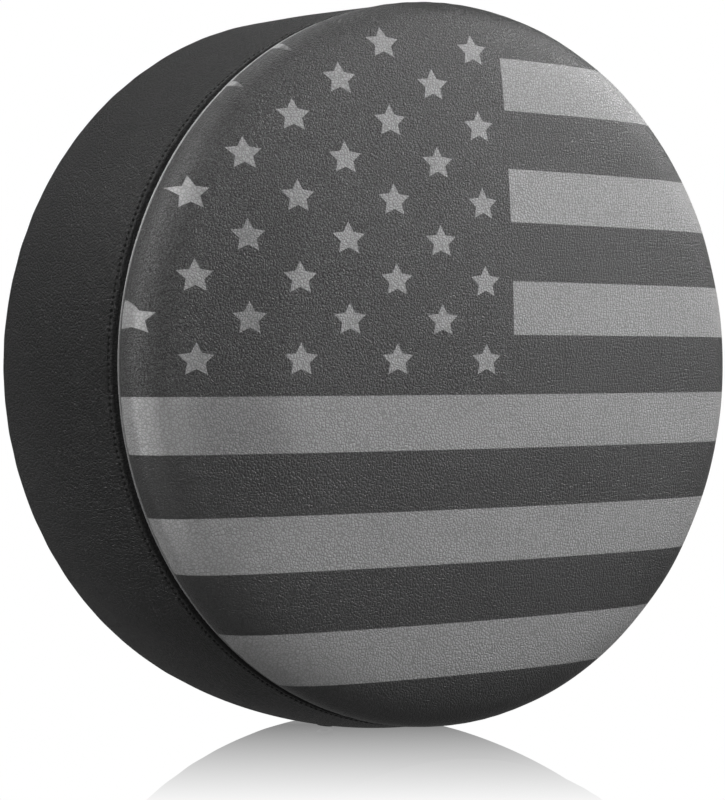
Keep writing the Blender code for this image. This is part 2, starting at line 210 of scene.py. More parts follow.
class Field:
    """A number inside a node tree. Each operator on it adds a Math node."""

    def __init__(self, nodes, socket):
        self.nodes = nodes
        self.socket = socket

    def __add__(self, other):
        return self.nodes.maths("ADD", self, other)

    def __sub__(self, other):
        return self.nodes.maths("SUBTRACT", self, other)

    def __mul__(self, other):
        return self.nodes.maths("MULTIPLY", self, other)

    def __truediv__(self, other):
        return self.nodes.maths("DIVIDE", self, other)

    def __mod__(self, other):
        return self.nodes.maths("FLOORED_MODULO", self, other)

    def __abs__(self):
        return self.nodes.maths("ABSOLUTE", self)


class Nodes:
    """Short calls for the nodes of one tree."""

    def __init__(self, tree):
        self.tree = tree
        self.coordinates = self.node("ShaderNodeTexCoord").outputs
        self.place = self.coordinates["Object"]

    def node(self, kind, inputs=None, **settings):
        made = self.tree.nodes.new(kind)
        for key, value in settings.items():
            setattr(made, key, value)
        for key, value in (inputs or {}).items():
            self.put(made.inputs[key], value)
        return made

    def put(self, socket, value):
        value = value.socket if isinstance(value, Field) else value
        if isinstance(value, bpy.types.NodeSocket):
            self.tree.links.new(value, socket)
        else:
            socket.default_value = value

    def maths(self, operation, *values, clamp=False):
        made = self.node("ShaderNodeMath", operation=operation, use_clamp=clamp)
        for socket, value in zip(made.inputs, values):
            self.put(socket, value)
        return Field(self, made.outputs[0])

    def ramp(self, value, low, high, to_low=0.0, to_high=1.0, smooth=True):
        kind = "SMOOTHSTEP" if smooth else "LINEAR"
        inputs = {"Value": value, "From Min": low, "From Max": high, "To Min": to_low, "To Max": to_high}
        return Field(self, self.node("ShaderNodeMapRange", inputs, interpolation_type=kind).outputs["Result"])

    def noise(self, scale, detail=3.0, roughness=0.55, place=None):
        inputs = {"Vector": place or self.place, "Scale": scale, "Detail": detail, "Roughness": roughness}
        return Field(self, self.node("ShaderNodeTexNoise", inputs).outputs["Fac"])

    def cells(self, scale, place):
        """The distance from the edges of round cells."""
        inputs = {"Vector": place, "Scale": scale}
        made = self.node("ShaderNodeTexVoronoi", inputs, feature="DISTANCE_TO_EDGE")
        return Field(self, made.outputs["Distance"])

    def axes(self, place=None):
        split = self.node("ShaderNodeSeparateXYZ", {0: place or self.place})
        return [Field(self, socket) for socket in split.outputs]

    def vector(self, operation, inputs):
        return self.node("ShaderNodeVectorMath", inputs, operation=operation).outputs[0]

    def warped(self, scale, amount):
        """Object coordinates pushed about by noise, for cells that aren't too regular."""
        inputs = {"Vector": self.place, "Scale": scale, "Detail": 2.0}
        push = self.node("ShaderNodeTexNoise", inputs).outputs["Color"]
        centred = self.vector("SUBTRACT", {0: push, 1: (0.5, 0.5, 0.5)})
        scaled = self.vector("SCALE", {0: centred, "Scale": amount})
        return self.vector("ADD", {0: self.place, 1: scaled})

    def mix(self, share, low, high):
        return self.node("ShaderNodeMix", {0: share, 6: low, 7: high}, data_type="RGBA").outputs[2]

    def grey(self, share, low, high):
        return self.mix(share, (low, low, low, 1.0), (high, high, high, 1.0))


class Finish(Nodes):
    """A material under construction, round a Principled BSDF."""

    def __init__(self, name, **settings):
        self.material = bpy.data.materials.new(name)
        self.material.use_nodes = True
        super().__init__(self.material.node_tree)
        self.shader = self.tree.nodes["Principled BSDF"]
        for socket, value in settings.items():
            self.shader.inputs[socket.replace("_", " ")].default_value = value

    def done(self, colour, roughness, height, depth):
        """The material, with its last colour and roughness, and a bump as deep as depth."""
        shape = self.node("ShaderNodeBump", {"Height": height, "Distance": depth, "Strength": 1.0})
        self.put(self.shader.inputs["Base Color"], colour)
        self.put(self.shader.inputs["Roughness"], roughness)
        self.put(self.shader.inputs["Normal"], shape.outputs["Normal"])
        return self.material


def out_from_axis(finish, x, z):
    """The distance out from the Y axis."""
    return finish.maths("SQRT", x * x + z * z)


def facing(finish, x, z, radius, turn, low, high):
    """1 where the way out from the Y axis is near an angle. low and high are cosines."""
    towards = z * sin(turn) + x * cos(turn)
    return finish.ramp(towards / finish.maths("MAXIMUM", radius, 0.1 * SEAM_RADIUS), low, high)


def pebbled_grain(finish, scale):
    """Leather grain, 0 in its creases and 1 on its pebbles, with finer grain and long soft dents."""
    place = finish.warped(scale * 0.6, 0.0012)
    pebbles = finish.ramp(finish.cells(scale, place), 0.0, 0.22)
    fine = finish.ramp(finish.cells(scale * 2.7, place), 0.0, 0.3)
    soft = finish.noise(scale * 0.16, detail=2.0)
    return soft * 0.5 + (fine * 0.28 + pebbles * 0.72), pebbles


def leather(name, tone, grain_depth, roughness, scale=265.0, painted_seam_shade=None, holes=None, painted_light=None):
    """Pebbled leather-like vinyl: creases a little darker and rougher, worn patches a little smoother.

    Between the two values of Y given for the seam's painted shade it fades from matt black: painted shade in
    the groove behind the front seam, made rough as well.
    holes is the Y of a row of needle holes round the Y axis, and how many there are: each is dented, and
    painted matt black as painted shade.
    The last argument places a painted highlight: the direction whose side keeps its full tone, with its two
    cosines, while the rest is painted darker as painted shade.
    """
    finish = Finish(name, Specular_IOR_Level=0.3)
    x, y, z = finish.axes()
    height, pebbles = pebbled_grain(finish, scale)
    blotch = finish.noise(9.0, detail=4.0)
    tint = pebbles * 0.35 + blotch * 0.65
    colour = finish.grey(tint, tone * 0.62, tone * 1.35)
    rough = pebbles * -0.10 + blotch * 0.14 + roughness
    # Painted highlight: one side keeps its full tone, as if lit, and the rest is painted darker.
    if painted_light:
        painted_highlight = facing(finish, x, z, out_from_axis(finish, x, z), *painted_light)
        colour = finish.mix(painted_highlight, finish.grey(tint, tone * 0.3, tone * 0.6), colour)
    # Painted shade: matt black in the groove behind the seam and in the needle holes.
    if painted_seam_shade:
        beat = finish.maths("COSINE", finish.maths("ARCTAN2", z, x) * holes[1])
        hole = finish.ramp(beat, -0.2, 0.5) * finish.ramp(abs(y - holes[0]), 0.0011, 0.0022, 1.0, 0.0)
        shade = finish.maths("MAXIMUM", finish.ramp(y, *painted_seam_shade, 1.0, 0.0), hole)
        height = hole * -2.5 + height
        colour = finish.mix(shade, colour, (0.0008, 0.0008, 0.0008, 1.0))
        rough = finish.maths("MULTIPLY_ADD", shade, 0.5, rough, clamp=True)
    return finish.done(colour, rough, height, grain_depth)


def star_mask(finish, x, z):
    """1 inside the stars of a staggered lattice that covers the whole face."""
    pitch_x, pitch_z = 2 * STAR_STEP[0], 2 * STAR_STEP[1]
    masks = []
    for offset in (0, 1):
        across = (x - (STAR_FIRST[0] - offset * STAR_STEP[0] - pitch_x / 2)) % pitch_x - pitch_x / 2
        along = (z - (STAR_FIRST[1] + offset * STAR_STEP[1] - pitch_z / 2)) % pitch_z - pitch_z / 2
        masks.append(star(finish, across / STAR_STRETCH, along))
    return finish.maths("MAXIMUM", *masks)


def star(finish, across, along):
    """1 inside a five-pointed star, from its five-fold fold and the straight line of its edge."""
    point_turn = 2 * pi / 5
    edge_turn = atan2(1 - STAR_WAIST * cos(point_turn / 2), STAR_WAIST * sin(point_turn / 2))
    edge = STAR_RADIUS * cos(edge_turn)
    turn = finish.maths("ARCTAN2", across, along)
    fold = abs((turn * (1 / point_turn) + 0.5) % 1.0 - 0.5)
    reach = out_from_axis(finish, across, along) * finish.maths("COSINE", fold * point_turn - edge_turn)
    return finish.ramp(reach, edge - INK_EDGE, edge + INK_EDGE, 1.0, 0.0)


def stripe_mask(finish, z):
    """1 on the light stripes. The middle stripe is dark, and both ways from it light and dark alternate."""
    beyond = abs(z) - STRIPE_DARK / 2
    within = beyond % (STRIPE_DARK + STRIPE_LIGHT)
    rise = finish.ramp(within, 0.0, 2 * INK_EDGE)
    fall = finish.ramp(within, STRIPE_LIGHT - INK_EDGE, STRIPE_LIGHT + INK_EDGE, 1.0, 0.0)
    return rise * fall * finish.ramp(beyond, -INK_EDGE, INK_EDGE)


def painted_rim_light(finish, x, z, radius, roll):
    """Painted light on the print: a painted highlight over the tyre's shoulder on one side, and painted shade
    inside it and above it.

    The second value is 1 where that side turns into the seam, which is painted dark as shade and made rough.
    """
    side = facing(finish, x, z, radius, radians(176), 0.74, 0.95)
    above = facing(finish, x, z, radius, radians(112), 0.79, 0.94)
    edge = facing(finish, x, z, radius, radians(165), 0.78, 0.95)
    shoulder = finish.ramp(roll, 0.0045, 0.0105) * finish.ramp(roll, 0.0165, 0.0225, 1, 0)
    inside = finish.ramp(radius, 0.55 * SEAM_RADIUS, 0.70 * SEAM_RADIUS) * finish.ramp(roll, 0.0, 0.003, 1, 0)
    over = finish.ramp(roll, 0.006, 0.014) * finish.ramp(roll, 0.0225, 0.028, 1, -0.5)
    turned = finish.ramp(roll, 0.0185, 0.0285) * edge
    paler = (inside * -0.30 + shoulder * 0.5) * side + 1.0
    return turned * -0.12 + paler * (over * above * -0.6 + 1.0), turned


def printed_leather():
    """The face: pebbled leather printed in four greys, with painted highlight and painted shade near its rim.
    """
    finish = Finish("printed_leather", Specular_IOR_Level=0.3)
    x, y, z = finish.axes()
    radius = out_from_axis(finish, x, z)
    crown = radius * radius * (CROWN_RISE / SEAM_RADIUS**2) + CROWN_Y
    roll = finish.maths("MAXIMUM", y - crown, 0.0)
    # Painted highlight and painted shade near the rim, and painted shade where the print turns into the seam.
    painted_light, turned = painted_rim_light(finish, x, z, radius, roll)
    wrapped = roll / finish.maths("MAXIMUM", radius, 0.1 * SEAM_RADIUS)
    x = x * (wrapped * WRAP_PER_ROLL + 1.0)
    field_x = finish.ramp(x, FIELD_RIGHT - INK_EDGE, FIELD_RIGHT + INK_EDGE, 1.0, 0.0)
    field_z = finish.ramp(z, -STRIPE_DARK / 2 - INK_EDGE, -STRIPE_DARK / 2 + INK_EDGE)
    stripes = finish.grey(stripe_mask(finish, z), PRINT_DARK, PRINT_LIGHT)
    above_first = finish.maths("GREATER_THAN", z, STAR_FIRST[1] - STAR_STEP[1] / 2)
    below_last = finish.maths("LESS_THAN", z, STAR_FIRST[1] + (STAR_ROWS - 0.5) * STAR_STEP[1])
    stars = star_mask(finish, x, z) * above_first * below_last
    speckle = finish.ramp(finish.noise(820.0, detail=2.0), 0.35, 0.65, 0.3 * PRINT_FIELD, 1.9 * PRINT_FIELD)
    stars = finish.mix(stars, speckle, (PRINT_STAR, PRINT_STAR, PRINT_STAR, 1.0))
    printed = finish.mix(field_x * field_z, stripes, stars)
    height, pebbles = pebbled_grain(finish, 330.0)
    blotch = finish.noise(7.0, detail=4.0)
    # The grain's tone times the painted light and shade near the rim.
    shade = (pebbles * 0.34 + (blotch * 0.16 + 0.66)) * painted_light
    rough = turned * 0.3 + (pebbles * -0.08 + blotch * 0.12) + FACE_ROUGHNESS
    return finish.done(finish.vector("SCALE", {0: printed, "Scale": shade}), rough, height, 0.0005)


def fleece():
    """Brushed polyester: short tangled fibres, with a soft sheen."""
    finish = Finish("fleece_lining", Specular_IOR_Level=0.2, Sheen_Weight=0.35, Sheen_Roughness=0.5)
    fibres = finish.noise(900.0, detail=6.0, roughness=0.7, place=finish.warped(260.0, 0.004))
    tufts = finish.noise(170.0)
    shade = fibres * 0.55 + finish.noise(8.0) * 0.45
    colour = finish.mix(shade, (0.075, 0.076, 0.080, 1.0), (0.22, 0.222, 0.23, 1.0))
    return finish.done(colour, finish.ramp(fibres, 0.3, 0.7, 0.85, 1.0), tufts * 0.6 + fibres, 0.0010)


def woven(name, low, high, thread, roughness, axes=(0, 2), ribs=False):
    """Plain weave: warp along the first axis and weft along the second, in a checkered over and under."""
    finish = Finish(name, Specular_IOR_Level=0.35, Sheen_Weight=0.1)
    place = finish.axes()
    along = finish.maths("SINE", place[axes[0]] * (pi / thread))
    across = finish.maths("SINE", place[axes[1]] * (pi / thread))
    choose = 0.5 if ribs else finish.ramp(along * across, -0.35, 0.35)
    blend = finish.node("ShaderNodeMix", {0: choose, 2: abs(across), 3: abs(along)}, data_type="FLOAT")
    weave = Field(finish, blend.outputs[0])
    fuzz = finish.noise(2600.0)
    colour = finish.grey(weave * 0.6 + finish.noise(40.0) * 0.4, low, high)
    return finish.done(colour, fuzz * 0.2 + roughness, fuzz * 0.25 + weave, thread * 0.35)


def turned_tape(name, low, high, thread, roughness=0.7):
    """Woven tape round the Y axis: its ribs follow the angle, and its warp follows Y and the radius."""
    finish = Finish(name, Specular_IOR_Level=0.3, Sheen_Weight=0.15)
    x, y, z = finish.axes()
    ribs = finish.maths("SINE", finish.maths("ARCTAN2", z, x) * round(2 * pi * 0.3 / thread))
    lines = finish.maths("SINE", (y + out_from_axis(finish, x, z)) * (2 * pi / thread))
    weave = abs(ribs) * 0.5 + (ribs * lines + 1.0) * 0.4
    fuzz = finish.noise(2200.0)
    colour = finish.grey(weave * 0.55 + finish.noise(30.0) * 0.45, low, high)
    return finish.done(colour, fuzz * 0.2 + roughness, fuzz * 0.3 + weave, thread * 0.3)


def thread_finish(name, tone):
    """Twisted polyester thread."""
    finish = Finish(name, Specular_IOR_Level=0.4, Sheen_Weight=0.2)
    strands = finish.noise(3200.0)
    colour = finish.grey(strands * 0.7 + finish.noise(60.0, detail=2.0) * 0.3, tone * 0.5, tone * 1.6)
    return finish.done(colour, finish.ramp(strands, 0.3, 0.7, 0.5, 0.75), strands, 0.00015)


def moulded_plastic():
    """Acetal with a fine spark-eroded texture and slightly polished wear."""
    finish = Finish("buckle_plastic", Specular_IOR_Level=0.5)
    speckle = finish.noise(2400.0, detail=2.0)
    broad = finish.noise(70.0)
    rough = speckle * 0.16 + broad * 0.16 + 0.24
    return finish.done(finish.grey(broad, 0.010, 0.024), rough, speckle, 0.00006)


def eyelet_metal():
    """Gunmetal-plated brass: faint turning marks and small scuffs."""
    finish = Finish("eyelet_metal", Metallic=1.0)
    scuffs = finish.noise(420.0, detail=5.0)
    worn = finish.ramp(scuffs, 0.55, 0.75)
    colour = finish.mix(worn, (0.075, 0.075, 0.08, 1.0), (0.2, 0.19, 0.17, 1.0))
    rough = scuffs * 0.25 + (finish.noise(120.0, detail=2.0) * 0.15 + 0.15)
    return finish.done(colour, rough, scuffs, 0.00005)


# Grids and surfaces turned about the Y axis.


def linked(name, mesh, finish, sharp):
    """An object of a mesh, smooth but for the edges that turn by more than an angle."""
    mesh.materials.append(finish)
    mesh.shade_smooth()
    mesh.set_sharp_from_angle(angle=sharp)
    made = bpy.data.objects.new(name, mesh)
    bpy.context.scene.collection.objects.link(made)
    return made


def mesh_object(name, points, faces, finish, sharp=radians(40)):
    mesh = bpy.data.meshes.new(name)
    mesh.from_pydata(points.tolist(), [], faces)
    mesh.validate()
    return linked(name, mesh, finish, sharp)


def solid_object(name, body, finish, sharp=radians(35)):
    """An object of a bmesh, which is freed."""
    mesh = bpy.data.meshes.new(name)
    body.to_mesh(mesh)
    body.free()
    return linked(name, mesh, finish, sharp)


def outward(made):
    """Welds shared points and turns the faces outwards."""
    body = bmesh.new()
    body.from_mesh(made.data)
    bmesh.ops.remove_doubles(body, verts=body.verts, dist=1e-6)
    bmesh.ops.recalc_face_normals(body, faces=body.faces)
    body.to_mesh(made.data)
    body.free()
    made.data.update()
    return made


def grid_faces(rows, columns, wrap_rows, wrap_columns):
    row = np.arange(rows if wrap_rows else rows - 1)
    column = np.arange(columns if wrap_columns else columns - 1)
    i, j = np.meshgrid(row, column, indexing="ij")
    after_i = (i + 1) % rows
    after_j = (j + 1) % columns
    quads = [i * columns + j, i * columns + after_j, after_i * columns + after_j, after_i * columns + j]
    return np.stack(quads, -1).reshape(-1, 4).tolist()


def end_faces(rows, columns):
    """The two faces that close the ends of a tube."""
    return [list(range(columns)), [(rows - 1) * columns + k for k in range(columns)]]


def arc_lengths(line):
    steps = np.sqrt((np.diff(line, axis=0) ** 2).sum(1))
    return np.concatenate([[0.0], np.cumsum(steps)])


def resampled(line, spacing):
    """The line with points at an even spacing along it."""
    line = np.array(line, float)
    lengths = arc_lengths(line)
    wanted = np.linspace(0, lengths[-1], max(2, round(lengths[-1] / spacing)) + 1)
    return np.stack([np.interp(wanted, lengths, line[:, k]) for k in (0, 1)], 1)


def smoothed(line, rounds=3):
    """Corner cutting, which turns a list of guide points into a smooth line with the same ends."""
    line = np.array(line, float)
    for _ in range(rounds):
        near = line[:-1] * 0.75 + line[1:] * 0.25
        far = line[:-1] * 0.25 + line[1:] * 0.75
        cut = np.stack([near, far], 1).reshape(-1, 2)
        line = np.concatenate([line[:1], cut, line[-1:]])
    return line


def turned(radius, y, angle):
    """Points from their distance out from the Y axis, their Y and their angle round it."""
    return np.stack([radius * np.cos(angle), y + 0 * angle, radius * np.sin(angle)], -1)


class Skin:
    """A sheet turned about Y. Its line is (radius, y) points and its outside is on the line's right.

    relief(angle, along) gives how far the sheet stands out from the line, and along is the length
    from the line's start.
    """

    def __init__(self, line, relief):
        self.line = np.array(line, float)
        self.along = arc_lengths(self.line)
        tangent = np.gradient(self.line, self.along, axis=0)
        tangent /= np.linalg.norm(tangent, axis=1)[:, None]
        self.normal = np.stack([tangent[:, 1], -tangent[:, 0]], 1)
        self.relief = relief

    def at(self, along, values):
        return np.interp(along, self.along, values)

    def points(self, angle, along, depth=0.0):
        lift = self.relief(angle, along) - depth
        radius = self.at(along, self.line[:, 0]) + self.at(along, self.normal[:, 0]) * lift
        y = self.at(along, self.line[:, 1]) + self.at(along, self.normal[:, 1]) * lift
        return turned(radius, y, angle)

    def object(self, name, thickness, finish, turns=TURNS, start=0.0, turn=2 * pi):
        whole = turn == 2 * pi
        angles = start + np.arange(turns if whole else turns + 1) * (turn / turns)
        angle, along = np.meshgrid(angles, self.along, indexing="ij")
        outer = self.points(angle, along)
        inner = self.points(angle, along, thickness)
        loop = np.concatenate([outer, inner[:, ::-1]], 1)
        rows, columns = loop.shape[:2]
        faces = grid_faces(rows, columns, whole, True)
        if not whole:
            faces += end_faces(rows, columns)
        return outward(mesh_object(name, loop.reshape(-1, 3), faces, finish))


def ring_object(name, radius, y, size, finish, turns=TURNS, sides=14, shape=None):
    """A closed round section turned about Y. shape(angle) may scale and move the section."""
    angles = np.arange(turns) * (2 * pi / turns)
    arounds = np.arange(sides) * (2 * pi / sides)
    angle, around = np.meshgrid(angles, arounds, indexing="ij")
    scale, move_radius, move_y = shape(angle) if shape else (1.0, 0.0, 0.0)
    out = radius + move_radius + size * scale * np.cos(around)
    height = y + move_y + size * scale * np.sin(around)
    points = turned(out, height, angle).reshape(-1, 3)
    return outward(mesh_object(name, points, grid_faces(turns, sides, True, True), finish))


def waves(angle, orders, seed):
    """A sum of whole-number waves round the circle with random phases, about 1 high."""
    source = np.random.default_rng(seed)
    total = 0.0 * angle
    for order in orders:
        total = total + np.sin(order * angle + source.uniform(0, 2 * pi)) * source.uniform(0.6, 1.0)
    return total / sqrt(len(orders))


def step(low, high, value):
    share = np.clip((value - low) / (high - low), 0, 1)
    return share * share * (3 - 2 * share)


def hump(value, width):
    """1 at 0, falling off evenly to both sides."""
    return np.exp(-((value / width) ** 2))


# Stitches.


def capsule():
    """A stitch lying along X, with its middle raised: unit points and its faces."""
    sides = 6
    stations = ((-0.5, 0.25, -0.9), (-0.42, 0.75, -0.3), (-0.2, 1.0, 0.15), (0.0, 1.0, 0.25))
    stations += tuple((-x, size, lift) for x, size, lift in stations[-2::-1])
    turns = [2 * pi * k / sides for k in range(sides)]
    points = [(x, size * cos(turn), size * sin(turn) + lift) for x, size, lift in stations for turn in turns]
    faces = grid_faces(len(stations), sides, False, True) + end_faces(len(stations), sides)
    return np.array(points), faces


def stitches(name, places, finish, length=STITCH_LENGTH):
    """One object of many stitches. Each place is (point, direction, outward)."""
    unit, unit_faces = capsule()
    points = []
    faces = []
    for middle, direction, out in places:
        direction = direction / np.linalg.norm(direction)
        side = np.cross(out, direction)
        side /= np.linalg.norm(side)
        up = np.cross(direction, side)
        base = len(points) * len(unit)
        stitch = middle + unit[:, :1] * length * direction
        points.append(stitch + unit[:, 1:2] * THREAD_RADIUS * side + unit[:, 2:] * THREAD_RADIUS * up)
        faces += [[base + k for k in face] for face in unit_faces]
    return outward(mesh_object(name, np.concatenate(points), faces, finish))


def stitch_row(skin, along):
    """Places of the stitches of a row round a skin, at a length along its line."""
    radius = float(skin.at(along, skin.line[:, 0]))
    count = round(2 * pi * radius / STITCH_PITCH)
    places = []
    small = 1e-4
    for k in range(count):
        angle = 2 * pi * k / count
        shifts = np.array([(0.0, 0.0), (small, 0.0), (0.0, small)])
        corners = skin.points(angle + shifts[:, 0], along + shifts[:, 1])
        direction = corners[1] - corners[0]
        out = np.cross(direction, corners[2] - corners[0])
        out /= np.linalg.norm(out)
        if out @ np.array([radius * cos(angle), 0, radius * sin(angle)]) < 0 and abs(out[1]) < 0.9:
            out = -out
        places.append((corners[0], direction, out))
    return places


def stitch_line(start, end, pitch=0.0032):
    """Places of the stitches of a straight row on a surface that faces +Y."""
    start = np.array(start, float)
    direction = np.array(end, float) - start
    count = max(1, round(np.linalg.norm(direction) / pitch))
    out = np.array((0.0, 1.0, 0.0))
    return [(start + direction * (k + 0.5) / count, direction, out) for k in range(count)]


def stitch_border(corners):
    """Places of the stitches along a closed outline."""
    return [place for pair in zip(corners, corners[1:] + corners[:1]) for place in stitch_line(*pair)]


# The sewn shell.


def dome(radius):
    share = radius / SEAM_RADIUS
    return CROWN_Y + CROWN_RISE * share**2 + RIM_ROLL * share**RIM_ROLL_POWER


def face_guide():
    """The face's line, from the crown over the rim's corner and into the seam."""
    line = [(radius, dome(radius)) for radius in np.linspace(0, FACE_CORNER_START, 120)]
    share = FACE_CORNER_START / SEAM_RADIUS
    roll_slope = RIM_ROLL_POWER * RIM_ROLL * share ** (RIM_ROLL_POWER - 1)
    slope = (2 * CROWN_RISE * share + roll_slope) / SEAM_RADIUS
    begin = np.array([FACE_CORNER_START, dome(FACE_CORNER_START)])
    knee = np.array([SEAM_RADIUS, begin[1] + slope * (SEAM_RADIUS - begin[0])])
    end = np.array([SEAM_RADIUS, FRONT_Y - SEAM_ROLL])
    for share in np.linspace(0, 1, 24)[1:]:
        line.append(tuple(begin * (1 - share) ** 2 + knee * 2 * share * (1 - share) + end * share**2))
    turn_in = [(0.0, -SEAM_ROLL), (-0.0005, -0.0106), (-0.0015, -0.0096)]
    turn_in += [(-0.0034, -0.0091), (-0.0062, -0.0089)]
    roll = smoothed([(SEAM_RADIUS + out, FRONT_Y + y) for out, y in turn_in])
    return np.concatenate([resampled(line, 0.0035), roll[1:]])


def band_radius(y):
    share = (y - FRONT_Y) / (BAND_END - FRONT_Y)
    return SEAM_RADIUS + FLARE * share + 4 * BULGE * share * (1 - share)


def rear_corner_point(turn, drop=0.0):
    """A point on the rear corner's arc, or a little way inside it."""
    reach = REAR_CORNER - drop
    return (CORNER_CENTRE + reach * cos(turn), BAND_END + reach * sin(turn))


def band_guide():
    """The band's line, out of the front seam, over its stitched ridge and round the rear corner."""
    turn_out = [(-0.0062, -0.0056), (-0.0046, -0.0050), (-0.0041, -0.0036), (-0.0037, -0.0018)]
    turn_out += [(-0.0028, 0.0000), (-0.0014, 0.0014), (-0.0003, 0.0028)]
    roll = [(SEAM_RADIUS + out, FRONT_Y + y) for out, y in turn_out]
    ridge_end = FRONT_Y + RIDGE_END
    body_start = ridge_end + 0.004
    roll = smoothed(roll + [(band_radius(y), y) for y in (ridge_end, body_start)])
    body = [(band_radius(y), y) for y in np.linspace(body_start, BAND_END, 60)[1:]]
    corner = [rear_corner_point(REAR_SEAM_TURN * k / 12) for k in range(1, 13)]
    tuck = [rear_corner_point(REAR_SEAM_TURN + radians(1), drop) for drop in SEAM_TUCK]
    return np.concatenate([roll, resampled(body + corner, 0.0032), tuck])


def skirt_guide():
    """The rear skirt's line, out of the rear seam, over the flat of the sidewall and into the hem."""
    tuck = [rear_corner_point(REAR_SEAM_TURN + radians(2.4), drop) for drop in SEAM_TUCK[::-1]]
    corner = [rear_corner_point(turn) for turn in np.linspace(REAR_SEAM_TURN + radians(4), pi / 2, 8)]
    flat = [(0.331, BACK_Y), (0.29, BACK_Y - 0.0006), (0.26, HEM_Y + 0.0004), (HEM_RADIUS + 0.0012, HEM_Y)]
    return np.concatenate([tuck, resampled(corner + flat, 0.0022)])


def face_relief(angle, along):
    """Broad soft dents, and short puckers where the seam's stitches draw the edge in."""
    edge = FACE_SKIN.along[-1]
    near_seam = step(edge - 0.030, edge - 0.006, along)
    inside_roll = 1 - step(edge - 0.006, edge - 0.002, along)
    puckers = waves(angle, (92, 97, 111, 126), 3) * 0.00016 * near_seam * inside_roll
    reach = along / edge
    broad = waves(angle, (3, 5, 8), 5) * np.sin(pi * reach) * 0.0004
    rim = waves(angle, (7, 11, 16, 23), 6) * 0.00035 * hump(reach - 0.9, 0.07)
    return puckers + broad + rim


def top_rest(angle, y):
    """How far the band lies below its even bulge where it hangs straight over the top of the tyre."""
    share = np.clip((y - FRONT_Y) / (BAND_END - FRONT_Y), 0, 1)
    away = np.abs((angle - pi / 2 + pi) % (2 * pi) - pi)
    hang = 1 - step(radians(30), radians(64), away)
    return -TOP_REST * 4 * BULGE * share * (1 - share) * hang


def band_relief(angle, along):
    """Dimples at the stitched ridge, and the slight waves of leather pulled over a tread."""
    behind = along - TOPSTITCH_ALONG
    groove = -0.00065 * hump(behind, 0.0016) * (1 + 0.6 * np.cos(SEAM_STITCHES * angle))
    ridge = 0.0005 * hump(behind + 0.0028, 0.0018)
    swell = 0.0003 * hump(behind - 0.0034, 0.0022)
    puckers = waves(angle, (88, 103, 117, 131), 8) * 0.00018 * np.exp(-(np.abs(behind) / 0.011))
    share = along / BAND_LENGTH
    middle = np.sin(pi * np.clip(share, 0, 1))
    broad = waves(angle, (4, 7, 11, 17), 9) * 0.00055 * middle
    cross = waves(angle + 0.35 * share, (19, 26, 31), 12) * 0.00022 * middle
    rear = waves(angle, (52, 61, 74), 13) * 0.0003 * np.exp(-(np.abs(along - BAND_LENGTH) / 0.02))
    rest = top_rest(angle, BAND_SKIN.at(along, BAND_SKIN.line[:, 1]))
    return groove + ridge + swell + puckers + broad + cross + rear + rest


def strap_calm(angle, radius):
    """0 under the strap's sewn patches, where the skirt lies flat, and 1 away from them."""
    x = np.abs(radius * np.cos(angle))
    z = radius * np.sin(angle)
    away = np.sqrt(((x - 0.25) / 0.062) ** 2 + ((z - STRAP_HEIGHT) / 0.036) ** 2)
    return step(0.75, 1.6, away)


def gathers(angle, radius):
    """The folds that the hem's elastic draws in: many at the hem, fewer and lower towards the seam."""
    share = np.clip((radius - HEM_RADIUS) / (CORNER_CENTRE - HEM_RADIUS), 0, 1.3)
    drift = 0.05 * waves(angle, (5, 9, 14), 21)
    fine = np.sin(GATHER_COUNT * (angle + drift * 0.25) + 1.2 * waves(angle, (11, 17, 23), 22))
    wide = np.sin(GATHER_COUNT / 2 * (angle + drift * 0.25) + 0.6 * waves(angle, (7, 13, 19), 23))
    fine_height = 1 + 0.35 * waves(angle, (13, 21, 34), 24)
    wide_height = 1 + 0.3 * waves(angle, (6, 10, 15), 25)
    merge = step(0.12, 0.6, share)
    shape = fine * fine_height * (1 - merge) + wide * wide_height * merge
    height = GATHER_HEIGHT * (0.75 + 1.5 * share * hump(share, 0.28) / 0.12)
    fade = np.clip(1 - share, 0, 1) ** 1.5
    return (shape * height * fade - 0.0004 * (1 - share)) * strap_calm(angle, radius)


def skirt_relief(angle, along):
    """The gathers, and the groove and puckers of the rear seam's stitches."""
    sewn = step(0.004, 0.012, along)
    folds = gathers(angle, SKIRT_SKIN.at(along, SKIRT_SKIN.line[:, 0])) * sewn
    groove = -0.0004 * hump(along - SKIRT_TOPSTITCH, 0.0014)
    swell = 0.0003 * hump(along - SKIRT_TOPSTITCH + 0.003, 0.0018)
    puckers = waves(angle, (64, 77, 95), 15) * 0.00025 * np.exp(-(along / 0.014)) * sewn
    return folds + groove + swell + puckers


FACE_SKIN = Skin(face_guide(), face_relief)
BAND_SKIN = Skin(band_guide(), band_relief)
SKIRT_SKIN = Skin(skirt_guide(), skirt_relief)
BAND_LENGTH = BAND_SKIN.along[-1] - SEAM_TUCK[-1]
TOPSTITCH_ALONG = float(np.interp(FRONT_Y + TOPSTITCH_BACK, BAND_SKIN.line[:, 1], BAND_SKIN.along))


def build_shell(finishes):
    face = FACE_SKIN.object("face_cover", LEATHER, finishes["face"])
    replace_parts(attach(face, "cover"), "face_panel")

    band = BAND_SKIN.object("band_cover", LEATHER, finishes["band"])
    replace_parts(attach(band, "cover"), "side_band")

    skirt = SKIRT_SKIN.object("skirt_cover", SKIRT_LEATHER, finishes["skirt"], turns=2 * TURNS)
    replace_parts(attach(skirt, "cover"), "rear_skirt")
    return band


